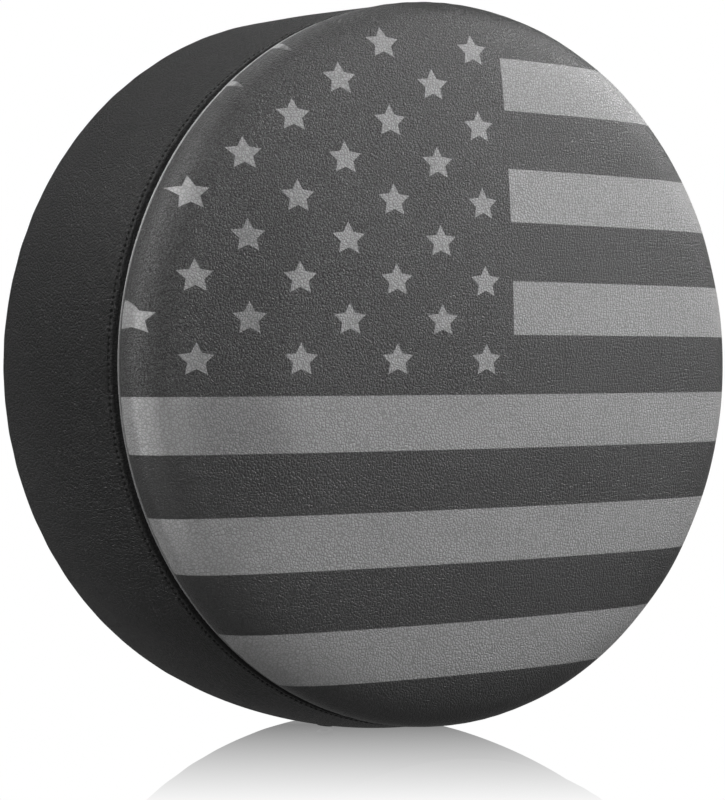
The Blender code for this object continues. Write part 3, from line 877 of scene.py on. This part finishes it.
def build_linings(finishes):
    start = LEATHER + GAP
    face_line = FACE_SKIN.line[: -len(FACE_SKIN.line) // 14]
    inner = Skin(face_line, lambda angle, along: face_relief(angle, along) - start)
    lining = inner.object("face_fleece", FACE_FLEECE, finishes["lining"], turns=TURNS // 2)
    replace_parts(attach(lining, "cover"), "face_lining")

    def lining_relief(angle, along):
        rest = top_rest(angle, inner.at(along, inner.line[:, 1]))
        return waves(angle, (5, 9, 14), 31) * 0.0002 - start - 0.0003 + rest

    band_line = [(radius, y) for radius, y in BAND_SKIN.line if FRONT_Y + 0.006 < y < BACK_Y - 0.0045]
    inner = Skin(band_line, lining_relief)
    lining = inner.object("band_fleece", BAND_FLEECE, finishes["lining"], turns=TURNS // 2)
    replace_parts(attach(lining, "cover"), "band_lining")
    return lining


def build_seams(finishes):
    """Piping in the front seam with its cord, the bindings inside, and the join tape."""
    radius = SEAM_RADIUS - PIPING_INSET
    y = FRONT_Y - SEAM_FORWARD

    def nipped(angle):
        return 1 + 0.05 * np.cos(SEAM_STITCHES * angle) + 0.05 * waves(angle, (31, 44), 41), 0.0, 0.0

    piping = ring_object("piping_cover", radius, y, PIPING_RADIUS, finishes["piping"], shape=nipped)
    hollow_out(piping, radius, y, PIPING_BORE, finishes["piping"])
    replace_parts(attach(piping, "cover"), "rim_piping")
    cord = ring_object("piping_cord", radius, y, CORD_RADIUS, finishes["cord"], sides=8)
    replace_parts(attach(cord, "cover"), "rim_piping_core")

    def tape(name, skin, thickness, node, **span):
        made = skin.object(name, thickness, finishes["tape"], **span)
        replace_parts(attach(made, "cover"), node)

    outer = SEAM_RADIUS - LEATHER - FACE_FLEECE - 4 * GAP - 0.0016
    front = resampled([(outer - 0.009, FRONT_Y - 0.0002), (outer, FRONT_Y + 0.0002)], 0.0015)
    half = FRONT_TAPE / 2
    wavy = Skin(front, lambda angle, along: half + waves(angle, (37, 52, 71), 42) * 0.0002)
    tape("front_binding", wavy, FRONT_TAPE, "front_seam_binding", turns=TURNS // 2)

    depth = LEATHER + BAND_FLEECE + 4 * GAP + TAPE_SLACK
    corner = [rear_corner_point(REAR_SEAM_TURN + radians(turn)) for turn in (-13, -6, 0, 6, 13)]
    wavy = Skin(corner, lambda angle, along: waves(angle, (33, 47), 43) * 0.0001 - depth)
    tape("rear_binding", wavy, REAR_TAPE, "rear_seam_binding", turns=TURNS // 2)

    line = [(radius, y) for radius, y in BAND_SKIN.line if FRONT_Y + 0.04 < y < BACK_Y - 0.03]
    flat = Skin(line, lambda angle, along: 0.0 * angle - depth)
    span = {"turns": 8, "start": -pi / 2 - JOIN_HALF_TURN, "turn": 2 * JOIN_HALF_TURN}
    tape("join_tape", flat, JOIN_TAPE, "band_join_tape", **span)


def hollow_out(made, radius, y, size, finish):
    """Takes a round bore out of a ring, so that it is a tube."""
    bore = ring_object(made.name + "_bore", radius, y, size, finish, sides=8)
    body = bmesh.new()
    body.from_mesh(bore.data)
    bmesh.ops.reverse_faces(body, faces=body.faces)
    body.from_mesh(made.data)
    body.to_mesh(made.data)
    body.free()
    bpy.data.objects.remove(bore)


def hem_move(angle):
    """How far the hem rides up and down with the gathers."""
    return gathers(angle, HEM_RADIUS + 0.003) * 0.8


def build_hem(finishes):
    """The casing, scrunched along its elastic, the elastic inside, and the row that closes the casing."""

    def scrunched(angle):
        calm = strap_calm(angle, HEM_RADIUS)
        fine = np.abs(np.sin(GATHER_COUNT * 1.5 * angle + 1.1 * waves(angle, (23, 31, 43), 51)))
        fine = 1 + 0.16 * (fine - 0.6) * (1 + 0.3 * waves(angle, (17, 29), 52)) * calm
        return fine, 0.0006 * waves(angle, (21, 38), 53) * calm, hem_move(angle)

    casing = ring_object("hem_tube", HEM_RADIUS, HEM_Y, HEM_TUBE, finishes["hem"], 3 * TURNS, shape=scrunched)
    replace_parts(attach(casing, "cover"), "hem_casing")

    def carried(angle):
        return 1.0, 0.0, hem_move(angle)

    size, finish = HEM_ELASTIC, finishes["elastic"]
    elastic = ring_object("hem_band", HEM_RADIUS, HEM_Y, size, finish, sides=8, shape=carried)
    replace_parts(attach(elastic, "cover"), "hem_elastic")

    def row_relief(angle, along):
        radius = HEM_ROW_START - along
        line_lift = np.interp(radius, SKIRT_SKIN.line[::-1, 0], SKIRT_SKIN.line[::-1, 1]) - HEM_Y
        return gathers(angle, radius) + line_lift

    hem = Skin([(HEM_ROW_START, HEM_Y), (HEM_RADIUS + 0.0062, HEM_Y)], row_relief)
    row = stitches("hem_stitches", stitch_row(hem, 0.004), finishes["thread"], length=0.0040)
    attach(row, "cover")


def build_topstitching(finishes):
    rows = {
        "band_topstitch": (BAND_SKIN, TOPSTITCH_ALONG),
        "band_rear_topstitch": (BAND_SKIN, BAND_LENGTH - 0.0055),
        "skirt_topstitch": (SKIRT_SKIN, SKIRT_TOPSTITCH),
    }
    for name, place in rows.items():
        row = stitches(name, stitch_row(*place), finishes["thread"])
        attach(row, "cover")


def turned_profile(name, section, centre, axis_turn, finish, steps=64):
    """A small turned piece whose axis points down before the turn about Y. section is (radius, depth)."""
    angles = np.arange(steps) * (2 * pi / steps)
    section = np.array(section, float)
    angle, index = np.meshgrid(angles, np.arange(len(section)), indexing="ij")
    radius = section[index, 0]
    parts = [radius * np.cos(angle), centre + radius * np.sin(angle), -section[index, 1]]
    faces = grid_faces(steps, len(section), True, True)
    made = outward(mesh_object(name, np.stack(parts, -1).reshape(-1, 3), faces, finish, radians(60)))
    made.data.transform(Matrix.Rotation(axis_turn, 4, "Y"))
    return made


def build_eyelets(band, lining, finishes):
    """Rolled eyelets in the drain holes, each over a flat washer, and the holes through band and lining."""
    metal = finishes["metal"]
    for name in ("left", "right"):
        low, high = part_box("drain_eyelet_" + name)
        middle = (low + high) / 2
        turn = -atan2(middle.x, -middle.z)
        skin = band_radius(middle.y)
        roll_middle = (EYELET_FLANGE + EYELET_BORE) / 2
        roll_half = (EYELET_FLANGE - EYELET_BORE) / 2
        section = []
        for k in range(13):
            share = pi * k / 12
            lift = 0.0002 + EYELET_RISE * sin(share)
            section.append((roll_middle - roll_half * cos(share), skin + lift))
        inner = skin - LEATHER - 0.0056
        section += [(EYELET_BARREL, skin - 0.0001), (EYELET_BARREL, inner), (EYELET_BORE, inner)]
        eyelet = turned_profile("eyelet_" + name, section, middle.y, turn, metal)
        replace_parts(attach(eyelet, "cover"), "drain_eyelet_" + name)

        under = skin - LEATHER - BAND_FLEECE - 5 * GAP
        hole = EYELET_BARREL + GAP
        washer = [(hole, under - 0.0009), (hole, under - 0.0003), (EYELET_FLANGE - 0.001, under - 0.0001)]
        washer += [(EYELET_FLANGE, under - 0.0004), (EYELET_FLANGE, under - 0.0009)]
        ring = turned_profile("washer_" + name, washer, middle.y, turn, metal)
        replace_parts(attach(ring, "cover"), "drain_washer_" + name)

        clear = EYELET_BARREL + 0.0001
        bottom, top = skin - 0.02, skin + 0.02
        plug = [(0.0001, bottom), (clear, bottom), (clear, top), (0.0001, top)]
        cutter = turned_profile("cutter", plug, middle.y, turn, metal, steps=48)
        for item in (band, lining):
            boolean(item, "DIFFERENCE", cutter)
        bpy.data.objects.remove(cutter)


def boolean(item, operation, other):
    """Applies a Boolean at once."""
    change = item.modifiers.new("change", "BOOLEAN")
    change.operation = operation
    change.solver = "EXACT"
    change.object = other
    graph = bpy.context.evaluated_depsgraph_get()
    mesh = bpy.data.meshes.new_from_object(item.evaluated_get(graph), depsgraph=graph)
    old = item.data
    item.modifiers.clear()
    item.data = mesh
    bpy.data.meshes.remove(old)


# The strap and its buckle.


def strap(name, path, finish):
    """A strap along an (x, y) path: a flat section with soft edges."""
    path = resampled(path, 0.002)
    tangent = np.gradient(path, axis=0)
    tangent /= np.linalg.norm(tangent, axis=1)[:, None]
    left = np.stack([-tangent[:, 1], tangent[:, 0]], 1)
    section = []
    for side in (1, -1):
        for share in np.linspace(-1, 1, 11) * side:
            edge = 1 - max(0.0, abs(share) - 0.86) / 0.14 * 0.55
            section.append((share * WEBBING_HALF_WIDTH, -side * WEBBING_HALF * edge))
    points = []
    for place, out in zip(path, left):
        points += [(*(place + out * lift), STRAP_HEIGHT + z) for z, lift in section]
    size = (len(path), len(section))
    faces = grid_faces(*size, False, True) + end_faces(*size)
    return outward(mesh_object(name, np.array(points), faces, finish, radians(60)))


def loop_path(bar_x, towards):
    """The half turn round a buckle's bar."""
    reach = BAR_HALF * sqrt(2) + GAP + WEBBING_HALF
    angles = [-pi / 2 + pi * k / 16 for k in range(17)]
    return [(bar_x + towards * reach * cos(angle), STRAP_Y + reach * sin(angle)) for angle in angles]


def strap_rise(side, to_y):
    """The strap's bend from its sewn end on the patch to the buckle's height."""
    heights = (PATCH_TOP + WEBBING_HALF, PATCH_TOP + WEBBING_HALF, to_y, to_y)
    bend = smoothed([(side * x, y) for x, y in zip((SEWN_START, *STRAP_RISE), heights)])
    return [*map(tuple, bend)]


def cross_tack(name, xs, half_height, y, finish):
    """Short rows of stitches across the strap."""
    places = []
    for x in xs:
        places += stitch_line((x, y, STRAP_HEIGHT - half_height), (x, y, STRAP_HEIGHT + half_height))
    return stitches(name, places, finish, length=0.0030)


def build_strap(finishes):
    webbing = finishes["webbing"]
    over = STRAP_Y + LAYER
    under = STRAP_Y - LAYER
    on_patch = PATCH_TOP + WEBBING_HALF
    housing_bar = HOUSING_LOW.x + BAR_HALF
    tongue_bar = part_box("buckle_tongue")[1].x - BAR_HALF
    sewn_end = -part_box("webbing_left")[0].x
    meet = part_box("webbing_right")[0].x
    tail_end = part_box("webbing_tail")[1].x

    left = [(-sewn_end, on_patch), *strap_rise(-1, over), (housing_bar - BAR_SPACE, over)]
    left += loop_path(housing_bar, 1)[::-1]
    left += [(housing_bar - BAR_SPACE, under), (housing_bar - 0.040, under)]
    piece = strap("strap_left", left, webbing)
    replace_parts(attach(piece, "cover"), "webbing_left")

    sewn = strap("strap_right_sewn", [(sewn_end, on_patch), (SEWN_START, on_patch)], webbing)
    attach(sewn, "cover")
    right = strap("strap_right", [*strap_rise(1, under), (meet, under)], webbing)
    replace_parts(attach(right, "cover"), "webbing_right")
    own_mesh(right)

    tail = [(meet - GAP, under), (tongue_bar + BAR_SPACE, under)]
    tail += loop_path(tongue_bar, -1)
    tail += [(tongue_bar + BAR_SPACE, over), (tail_end, over)]
    piece = strap("strap_tail", tail, webbing)
    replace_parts(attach(piece, "tongue"), "webbing_tail")

    top = over + WEBBING_HALF
    xs = [housing_bar - back for back in (0.034, 0.030, 0.026)]
    tack = cross_tack("strap_bartack", xs, 0.010, top, finishes["thread"])
    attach(tack, "cover")
    hem = cross_tack("strap_tail_stitches", [tail_end - 0.0045], 0.0105, top, finishes["thread"])
    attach(hem, "tongue")


def layered(name, rings, finish, sharp=radians(35), bevel=None):
    """A solid between closed outlines of points. bevel is the width of its rounded edges along Y."""
    body = bmesh.new()
    loops = [[body.verts.new(point) for point in ring] for ring in rings]
    for lower, upper in zip(loops, loops[1:]):
        for k in range(len(lower)):
            after = (k + 1) % len(lower)
            body.faces.new((lower[k], lower[after], upper[after], upper[k]))
    body.faces.new(loops[0])
    body.faces.new(loops[-1])
    bmesh.ops.recalc_face_normals(body, faces=body.faces)
    if bevel:
        rims = [edge for edge in body.edges if abs(edge.verts[0].co.y - edge.verts[1].co.y) < 1e-9]
        bmesh.ops.bevel(body, geom=rims, offset=bevel, segments=3, profile=0.5, affect="EDGES")
    return solid_object(name, body, finish, sharp)


def rounded_plate(name, centre, size, corner, finish, bevel=0.0004):
    """A flat plate with round corners in X and Z, centred on a point, and a small soft edge."""
    half = size / 2
    outline = []
    for quarter, (side_x, side_z) in enumerate(((1, 1), (-1, 1), (-1, -1), (1, -1))):
        for k in range(7):
            turn = pi / 2 * (quarter + k / 6)
            x = side_x * (half.x - corner) + corner * cos(turn)
            outline.append((x, side_z * (half.z - corner) + corner * sin(turn)))
    rings = []
    for y, inset in ((-half.y, bevel), (-half.y + bevel, 0.0), (half.y - bevel, 0.0), (half.y, bevel)):
        shrink_x, shrink_z = 1 - inset / half.x, 1 - inset / half.z
        rings.append([centre + Vector((x * shrink_x, y, z * shrink_z)) for x, z in outline])
    return layered(name, rings, finish, radians(40))


def build_anchors(finishes):
    """Leather patches with a stitched border, and the boxed cross that holds the webbing's end."""
    for side, name in ((-1, "left"), (1, "right")):
        low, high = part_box("anchor_patch_" + name)
        middle, size = (low + high) / 2, high - low
        patch = rounded_plate("patch_" + name, middle, size, PATCH_CORNER, finishes["band"])
        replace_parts(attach(patch, "cover"), "anchor_patch_" + name)
        left, right = low.x + PATCH_BORDER, high.x - PATCH_BORDER
        bottom, top = low.z + PATCH_BORDER, high.z - PATCH_BORDER
        y = high.y
        places = stitch_border([(left, y, bottom), (right, y, bottom), (right, y, top), (left, y, top)])
        y = PATCH_TOP + 2 * WEBBING_HALF
        inner, outer = side * SEWN_BOX[0], side * SEWN_BOX[1]
        bottom, top = STRAP_HEIGHT - SEWN_BOX_HALF_HEIGHT, STRAP_HEIGHT + SEWN_BOX_HALF_HEIGHT
        corners = [(inner, y, bottom), (outer, y, bottom), (outer, y, top), (inner, y, top)]
        places += stitch_border(corners)
        places += stitch_line(corners[0], corners[2]) + stitch_line(corners[1], corners[3])
        rows = stitches("patch_stitches_" + name, places, finishes["thread"], length=0.0027)
        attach(rows, "cover")


def block(name, xs, half_y, half_z, finish, width=0.0003, middle_y=0.0, segments=2):
    """A block round the strap's line with all its edges rounded."""
    body = bmesh.new()
    middle = ((xs[1] + xs[0]) / 2, STRAP_Y + middle_y, STRAP_HEIGHT)
    size = (xs[1] - xs[0], 2 * half_y, 2 * half_z)
    bmesh.ops.create_cube(body, size=1.0, matrix=Matrix.Translation(middle) @ Matrix.Diagonal((*size, 1.0)))
    bmesh.ops.bevel(body, geom=body.edges[:], offset=width, segments=segments, profile=0.5, affect="EDGES")
    return solid_object(name, body, finish)


def blocks(name, xs, half_y, half_z, finish, width, middle_y, segments=2):
    """The same block on both sides of the strap's line."""
    sides = ((side, side * middle_y) for side in (-1, 1))
    return [block(f"{name}_{side}", xs, half_y, half_z, finish, width, y, segments) for side, y in sides]


def shape_with(item, operation, others):
    """Applies the other blocks and removes them, then softens the new edges."""
    for other in others:
        boolean(item, operation, other)
        bpy.data.objects.remove(other)
    item.data.shade_smooth()
    item.data.set_sharp_from_angle(angle=radians(35))


def add_ribs(item, first, pitch, count, half_z, middle_y, plastic):
    """Grip ribs across both sides."""
    ribs = []
    for k in range(count):
        x = first + pitch * k
        across = (x - RIB_HALF, x + RIB_HALF)
        ribs += blocks(f"rib_{k}", across, RIB_RISE, half_z, plastic, RIB_HALF / 2, middle_y)
    shape_with(item, "UNION", ribs)


def build_buckle(finishes):
    plastic = finishes["plastic"]
    end = HOUSING_LOW.x - HOUSING_HIGH.x
    half_width = (HOUSING_HIGH.z - HOUSING_LOW.z) / 2
    half_thick = (HOUSING_HIGH.y - HOUSING_LOW.y) / 2
    relief_y = BAR_HALF + RELIEF_HALF
    housing = block("housing", (end, 0.0), half_thick, half_width, plastic, 0.0024, segments=6)
    cutters = [
        block("pocket", (-0.025, 0.01), 0.0034, 0.0132, plastic),
        block("windows", (-0.0235, -0.0105), 0.0028, THROUGH, plastic, 0.0008, segments=3),
        block("slot", (end + BAR, -0.0268), THROUGH, SLOT_HALF, plastic, 0.0006),
    ]
    relief = (end - 0.01, end + BAR + 0.0001)
    cutters += blocks("relief", relief, RELIEF_HALF, SLOT_HALF, plastic, 0.0003, relief_y)
    dish_y = half_thick + 0.0004
    cutters += blocks("dish", (-0.0215, -0.0075), 0.0012, 0.0085, plastic, 0.0010, dish_y, segments=4)
    shape_with(housing, "DIFFERENCE", cutters)
    add_ribs(housing, -0.0058, 0.0018, 3, 0.0105, half_thick, plastic)
    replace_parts(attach(housing, "cover"), "buckle_housing")

    low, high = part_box("buckle_tongue")
    body = (TONGUE_FRONT, high.x)
    tongue = block("tongue_block", body, TONGUE_HALF, half_width, plastic, 0.0020, segments=6)
    rail = block("rail", (low.x, TONGUE_FRONT + 0.0014), 0.0015, 0.003, plastic, 0.0006, segments=3)
    shape_with(tongue, "UNION", [rail])
    cutters = [block("ladder", (0.0088, high.x - BAR), THROUGH, SLOT_HALF, plastic, 0.0006)]
    relief = (high.x - BAR - 0.0001, 0.03)
    cutters += blocks("relief", relief, RELIEF_HALF, SLOT_HALF, plastic, 0.0003, relief_y)
    shape_with(tongue, "DIFFERENCE", cutters)
    add_ribs(tongue, 0.0036, 0.0020, 2, 0.0120, TONGUE_HALF, plastic)
    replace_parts(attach(tongue, "tongue"), "buckle_tongue")
    build_prongs(plastic)


def build_prongs(plastic):
    """The springy arms: an outline with rounded corners, bevelled, with grip ridges on its thumb pad."""
    pad = [(-0.0120, 0.0012), (-0.0128, 0.0026)]
    for k in range(3):
        pad += [(-0.0140 - 0.0020 * k, 0.00285), (-0.0150 - 0.0020 * k, 0.0026)]
    barb = [(-0.0205, 0.0024), (-0.0225, 0.0013), (-0.0235, 0.0002)]
    barb += [(-0.0234, -0.0008), (-0.0215, -PRONG_HALF)]
    for side, name in ((1, "upper"), (-1, "lower")):
        low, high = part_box("buckle_prong_" + name)
        outline = [(high.x, -PRONG_HALF), (high.x, PRONG_HALF), *pad, *barb]
        middle = STRAP_HEIGHT + side * PRONG_OFFSET
        rings = [[(x, y, middle + side * z) for x, z in outline] for y in (low.y, high.y)]
        prong = layered("prong_" + name, rings, plastic, bevel=0.0004)
        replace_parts(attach(prong, "prong_" + name), "buckle_prong_" + name)


def build_keeper(finishes):
    low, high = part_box("tail_keeper")
    half_y = (high.y - low.y) / 2
    half_z = (high.z - low.z) / 2
    elastic = finishes["elastic"]
    keeper = block("keeper_loop", (low.x, high.x), half_y, half_z, elastic, 0.0007, segments=4)
    beyond = (low.x - 0.01, high.x + 0.01)
    space = block("space", beyond, half_y - KEEPER_WALL, half_z - KEEPER_WALL, elastic)
    shape_with(keeper, "DIFFERENCE", [space])
    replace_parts(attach(keeper, "tongue"), "tail_keeper")


def build_label(finishes):
    """A blank satin label with folded ends, bowed a little, sewn along its rear edge."""
    low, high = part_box("care_label")
    rows, columns = 21, 25
    points = []
    for side in (0, 1):
        for i in range(rows):
            share = i / (rows - 1)
            for j in range(columns):
                across = LABEL_HALF_WIDTH * (2 * j / (columns - 1) - 1)
                bow = LABEL_BOW * (1 - share) * (1 - (across / LABEL_HALF_WIDTH) ** 2)
                fold = LABEL_FOLD_RISE if abs(across) > LABEL_HALF_WIDTH - LABEL_FOLD else 0.0
                reach = LABEL_RADIUS - (LABEL_THICKNESS + fold) * side - bow
                angle = LABEL_TURN + across / LABEL_RADIUS
                points.append((reach * cos(angle), low.y + (high.y - low.y) * share, reach * sin(angle)))
    faces = grid_faces(rows, columns, False, False)
    count = rows * columns
    faces += [[k + count for k in face[::-1]] for face in faces]
    rim = list(range(columns)) + [i * columns + columns - 1 for i in range(1, rows)]
    rim += [(rows - 1) * columns + j for j in range(columns - 2, -1, -1)]
    rim += [i * columns for i in range(rows - 2, 0, -1)]
    faces += [[a, b, b + count, a + count] for a, b in zip(rim, rim[1:] + rim[:1])]
    label = outward(mesh_object("blank_label", np.array(points), faces, finishes["label"]))
    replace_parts(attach(label, "cover"), "care_label")


# Stage, light and camera.


def build_stage():
    """A white floor with a mirror-like sheen round the object that fades out with distance."""
    corners = [(-1, -1, 0), (1, -1, 0), (1, 1, 0), (-1, 1, 0)]
    points = np.array(corners) * FLOOR_HALF + (0, 0, cad_box[0].z)
    finish = Finish("stage_floor")
    x, y, _ = finish.axes()
    ahead = x * CAMERA_AIM[0] + y * CAMERA_AIM[1]
    aside = abs(x * CAMERA_AIM[1] - y * CAMERA_AIM[0]) - MIRROR_HALF_WIDTH
    away = finish.maths("MAXIMUM", abs(ahead), aside)
    fade = finish.ramp(away, 0.0, MIRROR_REACH, MIRROR_SHARE, 0.0, smooth=False)
    plain = finish.node("ShaderNodeEmission", {"Color": WHITE, "Strength": 1.0})
    mirror = finish.node("ShaderNodeBsdfGlossy", {"Color": WHITE, "Roughness": 0.0})
    seen = finish.node("ShaderNodeMixShader", {0: fade, 1: plain.outputs[0], 2: mirror.outputs[0]})
    bounce = finish.node("ShaderNodeEmission", {"Color": WHITE, "Strength": FLOOR_GLOW})
    ray = finish.node("ShaderNodeLightPath").outputs["Is Camera Ray"]
    both = finish.node("ShaderNodeMixShader", {0: ray, 1: bounce.outputs[0], 2: seen.outputs[0]})
    finish.put(finish.tree.nodes["Material Output"].inputs["Surface"], both.outputs[0])
    mesh_object("stage_floor", points, [[0, 1, 2, 3]], finish.material)


def build_world():
    """White to the camera and in the floor's mirror, and a soft sky, darker at the horizon, to the cover."""
    world = bpy.data.worlds.new("studio")
    bpy.context.scene.world = world
    world.use_nodes = True
    nodes = Nodes(world.node_tree)
    height = nodes.axes(nodes.coordinates["Generated"])[2]
    soft = nodes.tree.nodes["Background"]
    nodes.put(soft.inputs["Color"], WHITE)
    nodes.put(soft.inputs["Strength"], nodes.ramp(height, 0.0, 1.0, SKY_LOW, SKY_HIGH, smooth=False))
    seen = nodes.node("ShaderNodeBackground", {"Color": WHITE, "Strength": 1.0})
    ray = nodes.node("ShaderNodeLightPath").outputs
    sharp = nodes.maths("MAXIMUM", ray["Is Camera Ray"], ray["Is Singular Ray"])
    mix = nodes.node("ShaderNodeMixShader", {0: sharp, 1: soft.outputs[0], 2: seen.outputs[0]})
    nodes.put(nodes.tree.nodes["World Output"].inputs["Surface"], mix.outputs[0])


def aimed(name, data, place, towards):
    """An object of a light or a camera that looks along a direction."""
    made = bpy.data.objects.new(name, data)
    made.location = place
    made.rotation_euler = towards.to_track_quat("-Z", "Y").to_euler()
    bpy.context.scene.collection.objects.link(made)
    return made


def softbox(name, azimuth, elevation, power, size=BOX_SIZE):
    """A square soft light facing the cover. Azimuth turns from -Y towards +X."""
    turn, rise = radians(azimuth), radians(elevation)
    place = BOX_DISTANCE * Vector((sin(turn) * cos(rise), -cos(turn) * cos(rise), sin(rise)))
    light = bpy.data.lights.new(name, "AREA")
    light.shape = "SQUARE"
    light.size = size
    light.energy = power
    aimed(name, light, place, -place).visible_camera = False


def build_camera():
    camera = bpy.data.cameras.new("camera")
    camera.lens = CAMERA_LENS
    camera.shift_y = CAMERA_SHIFT
    bpy.context.scene.camera = aimed("camera", camera, CAMERA_PLACE, Vector((*CAMERA_AIM, 0)))


def build_lights():
    softbox("right_key", 62, 32, 118)
    softbox("right_low", 40, 8, 40)
    softbox("right_high", 40, 58, 20)
    softbox("left_low", -70, 8, 37)
    softbox("left_high", -50, 32, 43)
    softbox("left_rear", -120, 32, 74)
    softbox("top_rear", 180, 70, 50, size=1.6)
    softbox("right_rear", 95, 30, 15)


def build_all():
    # Painted shade behind the front seam and in its needle holes.
    painted_seam_shade = [FRONT_Y + back for back in SEAM_SHADE_SPAN]
    holes = (FRONT_Y + TOPSTITCH_BACK, SEAM_STITCHES)
    highlight_side = (radians(125), 0.6, 0.95)
    finishes = {
        "face": printed_leather(),
        "band": leather("band_leather", 0.0052, 0.0016, 0.44, painted_seam_shade=painted_seam_shade, holes=holes),
        "skirt": leather("skirt_leather", 0.017, 0.00034, 0.5, scale=300.0),
        "hem": leather("hem_leather", 0.015, 0.00030, 0.5, scale=320.0),
        # The piping's pale grey is a painted highlight along the seam's fold, full only on its upper-left
        # side.
        "piping": leather("piping_leather", 0.32, 0.00020, 0.45, scale=420.0, painted_light=highlight_side),
        "cord": thread_finish("piping_cord", 0.3),
        "lining": fleece(),
        "tape": turned_tape("binding_tape", 0.010, 0.030, 0.0012),
        "elastic": woven("elastic", 0.012, 0.035, 0.0011, roughness=0.6, ribs=True),
        "webbing": woven("webbing", 0.009, 0.034, 0.0013, roughness=0.5),
        "plastic": moulded_plastic(),
        "metal": eyelet_metal(),
        "label": woven("label", 0.48, 0.68, 0.0004, roughness=0.45),
        "thread": thread_finish("black_thread", 0.006),
    }
    band = build_shell(finishes)
    lining = build_linings(finishes)
    build_eyelets(band, lining, finishes)
    build_seams(finishes)
    build_hem(finishes)
    build_topstitching(finishes)
    build_anchors(finishes)
    build_strap(finishes)
    build_buckle(finishes)
    build_keeper(finishes)
    build_label(finishes)


build_camera()
build_all()
build_stage()
build_world()
build_lights()
bpy.context.scene.view_settings.view_transform = "Standard"
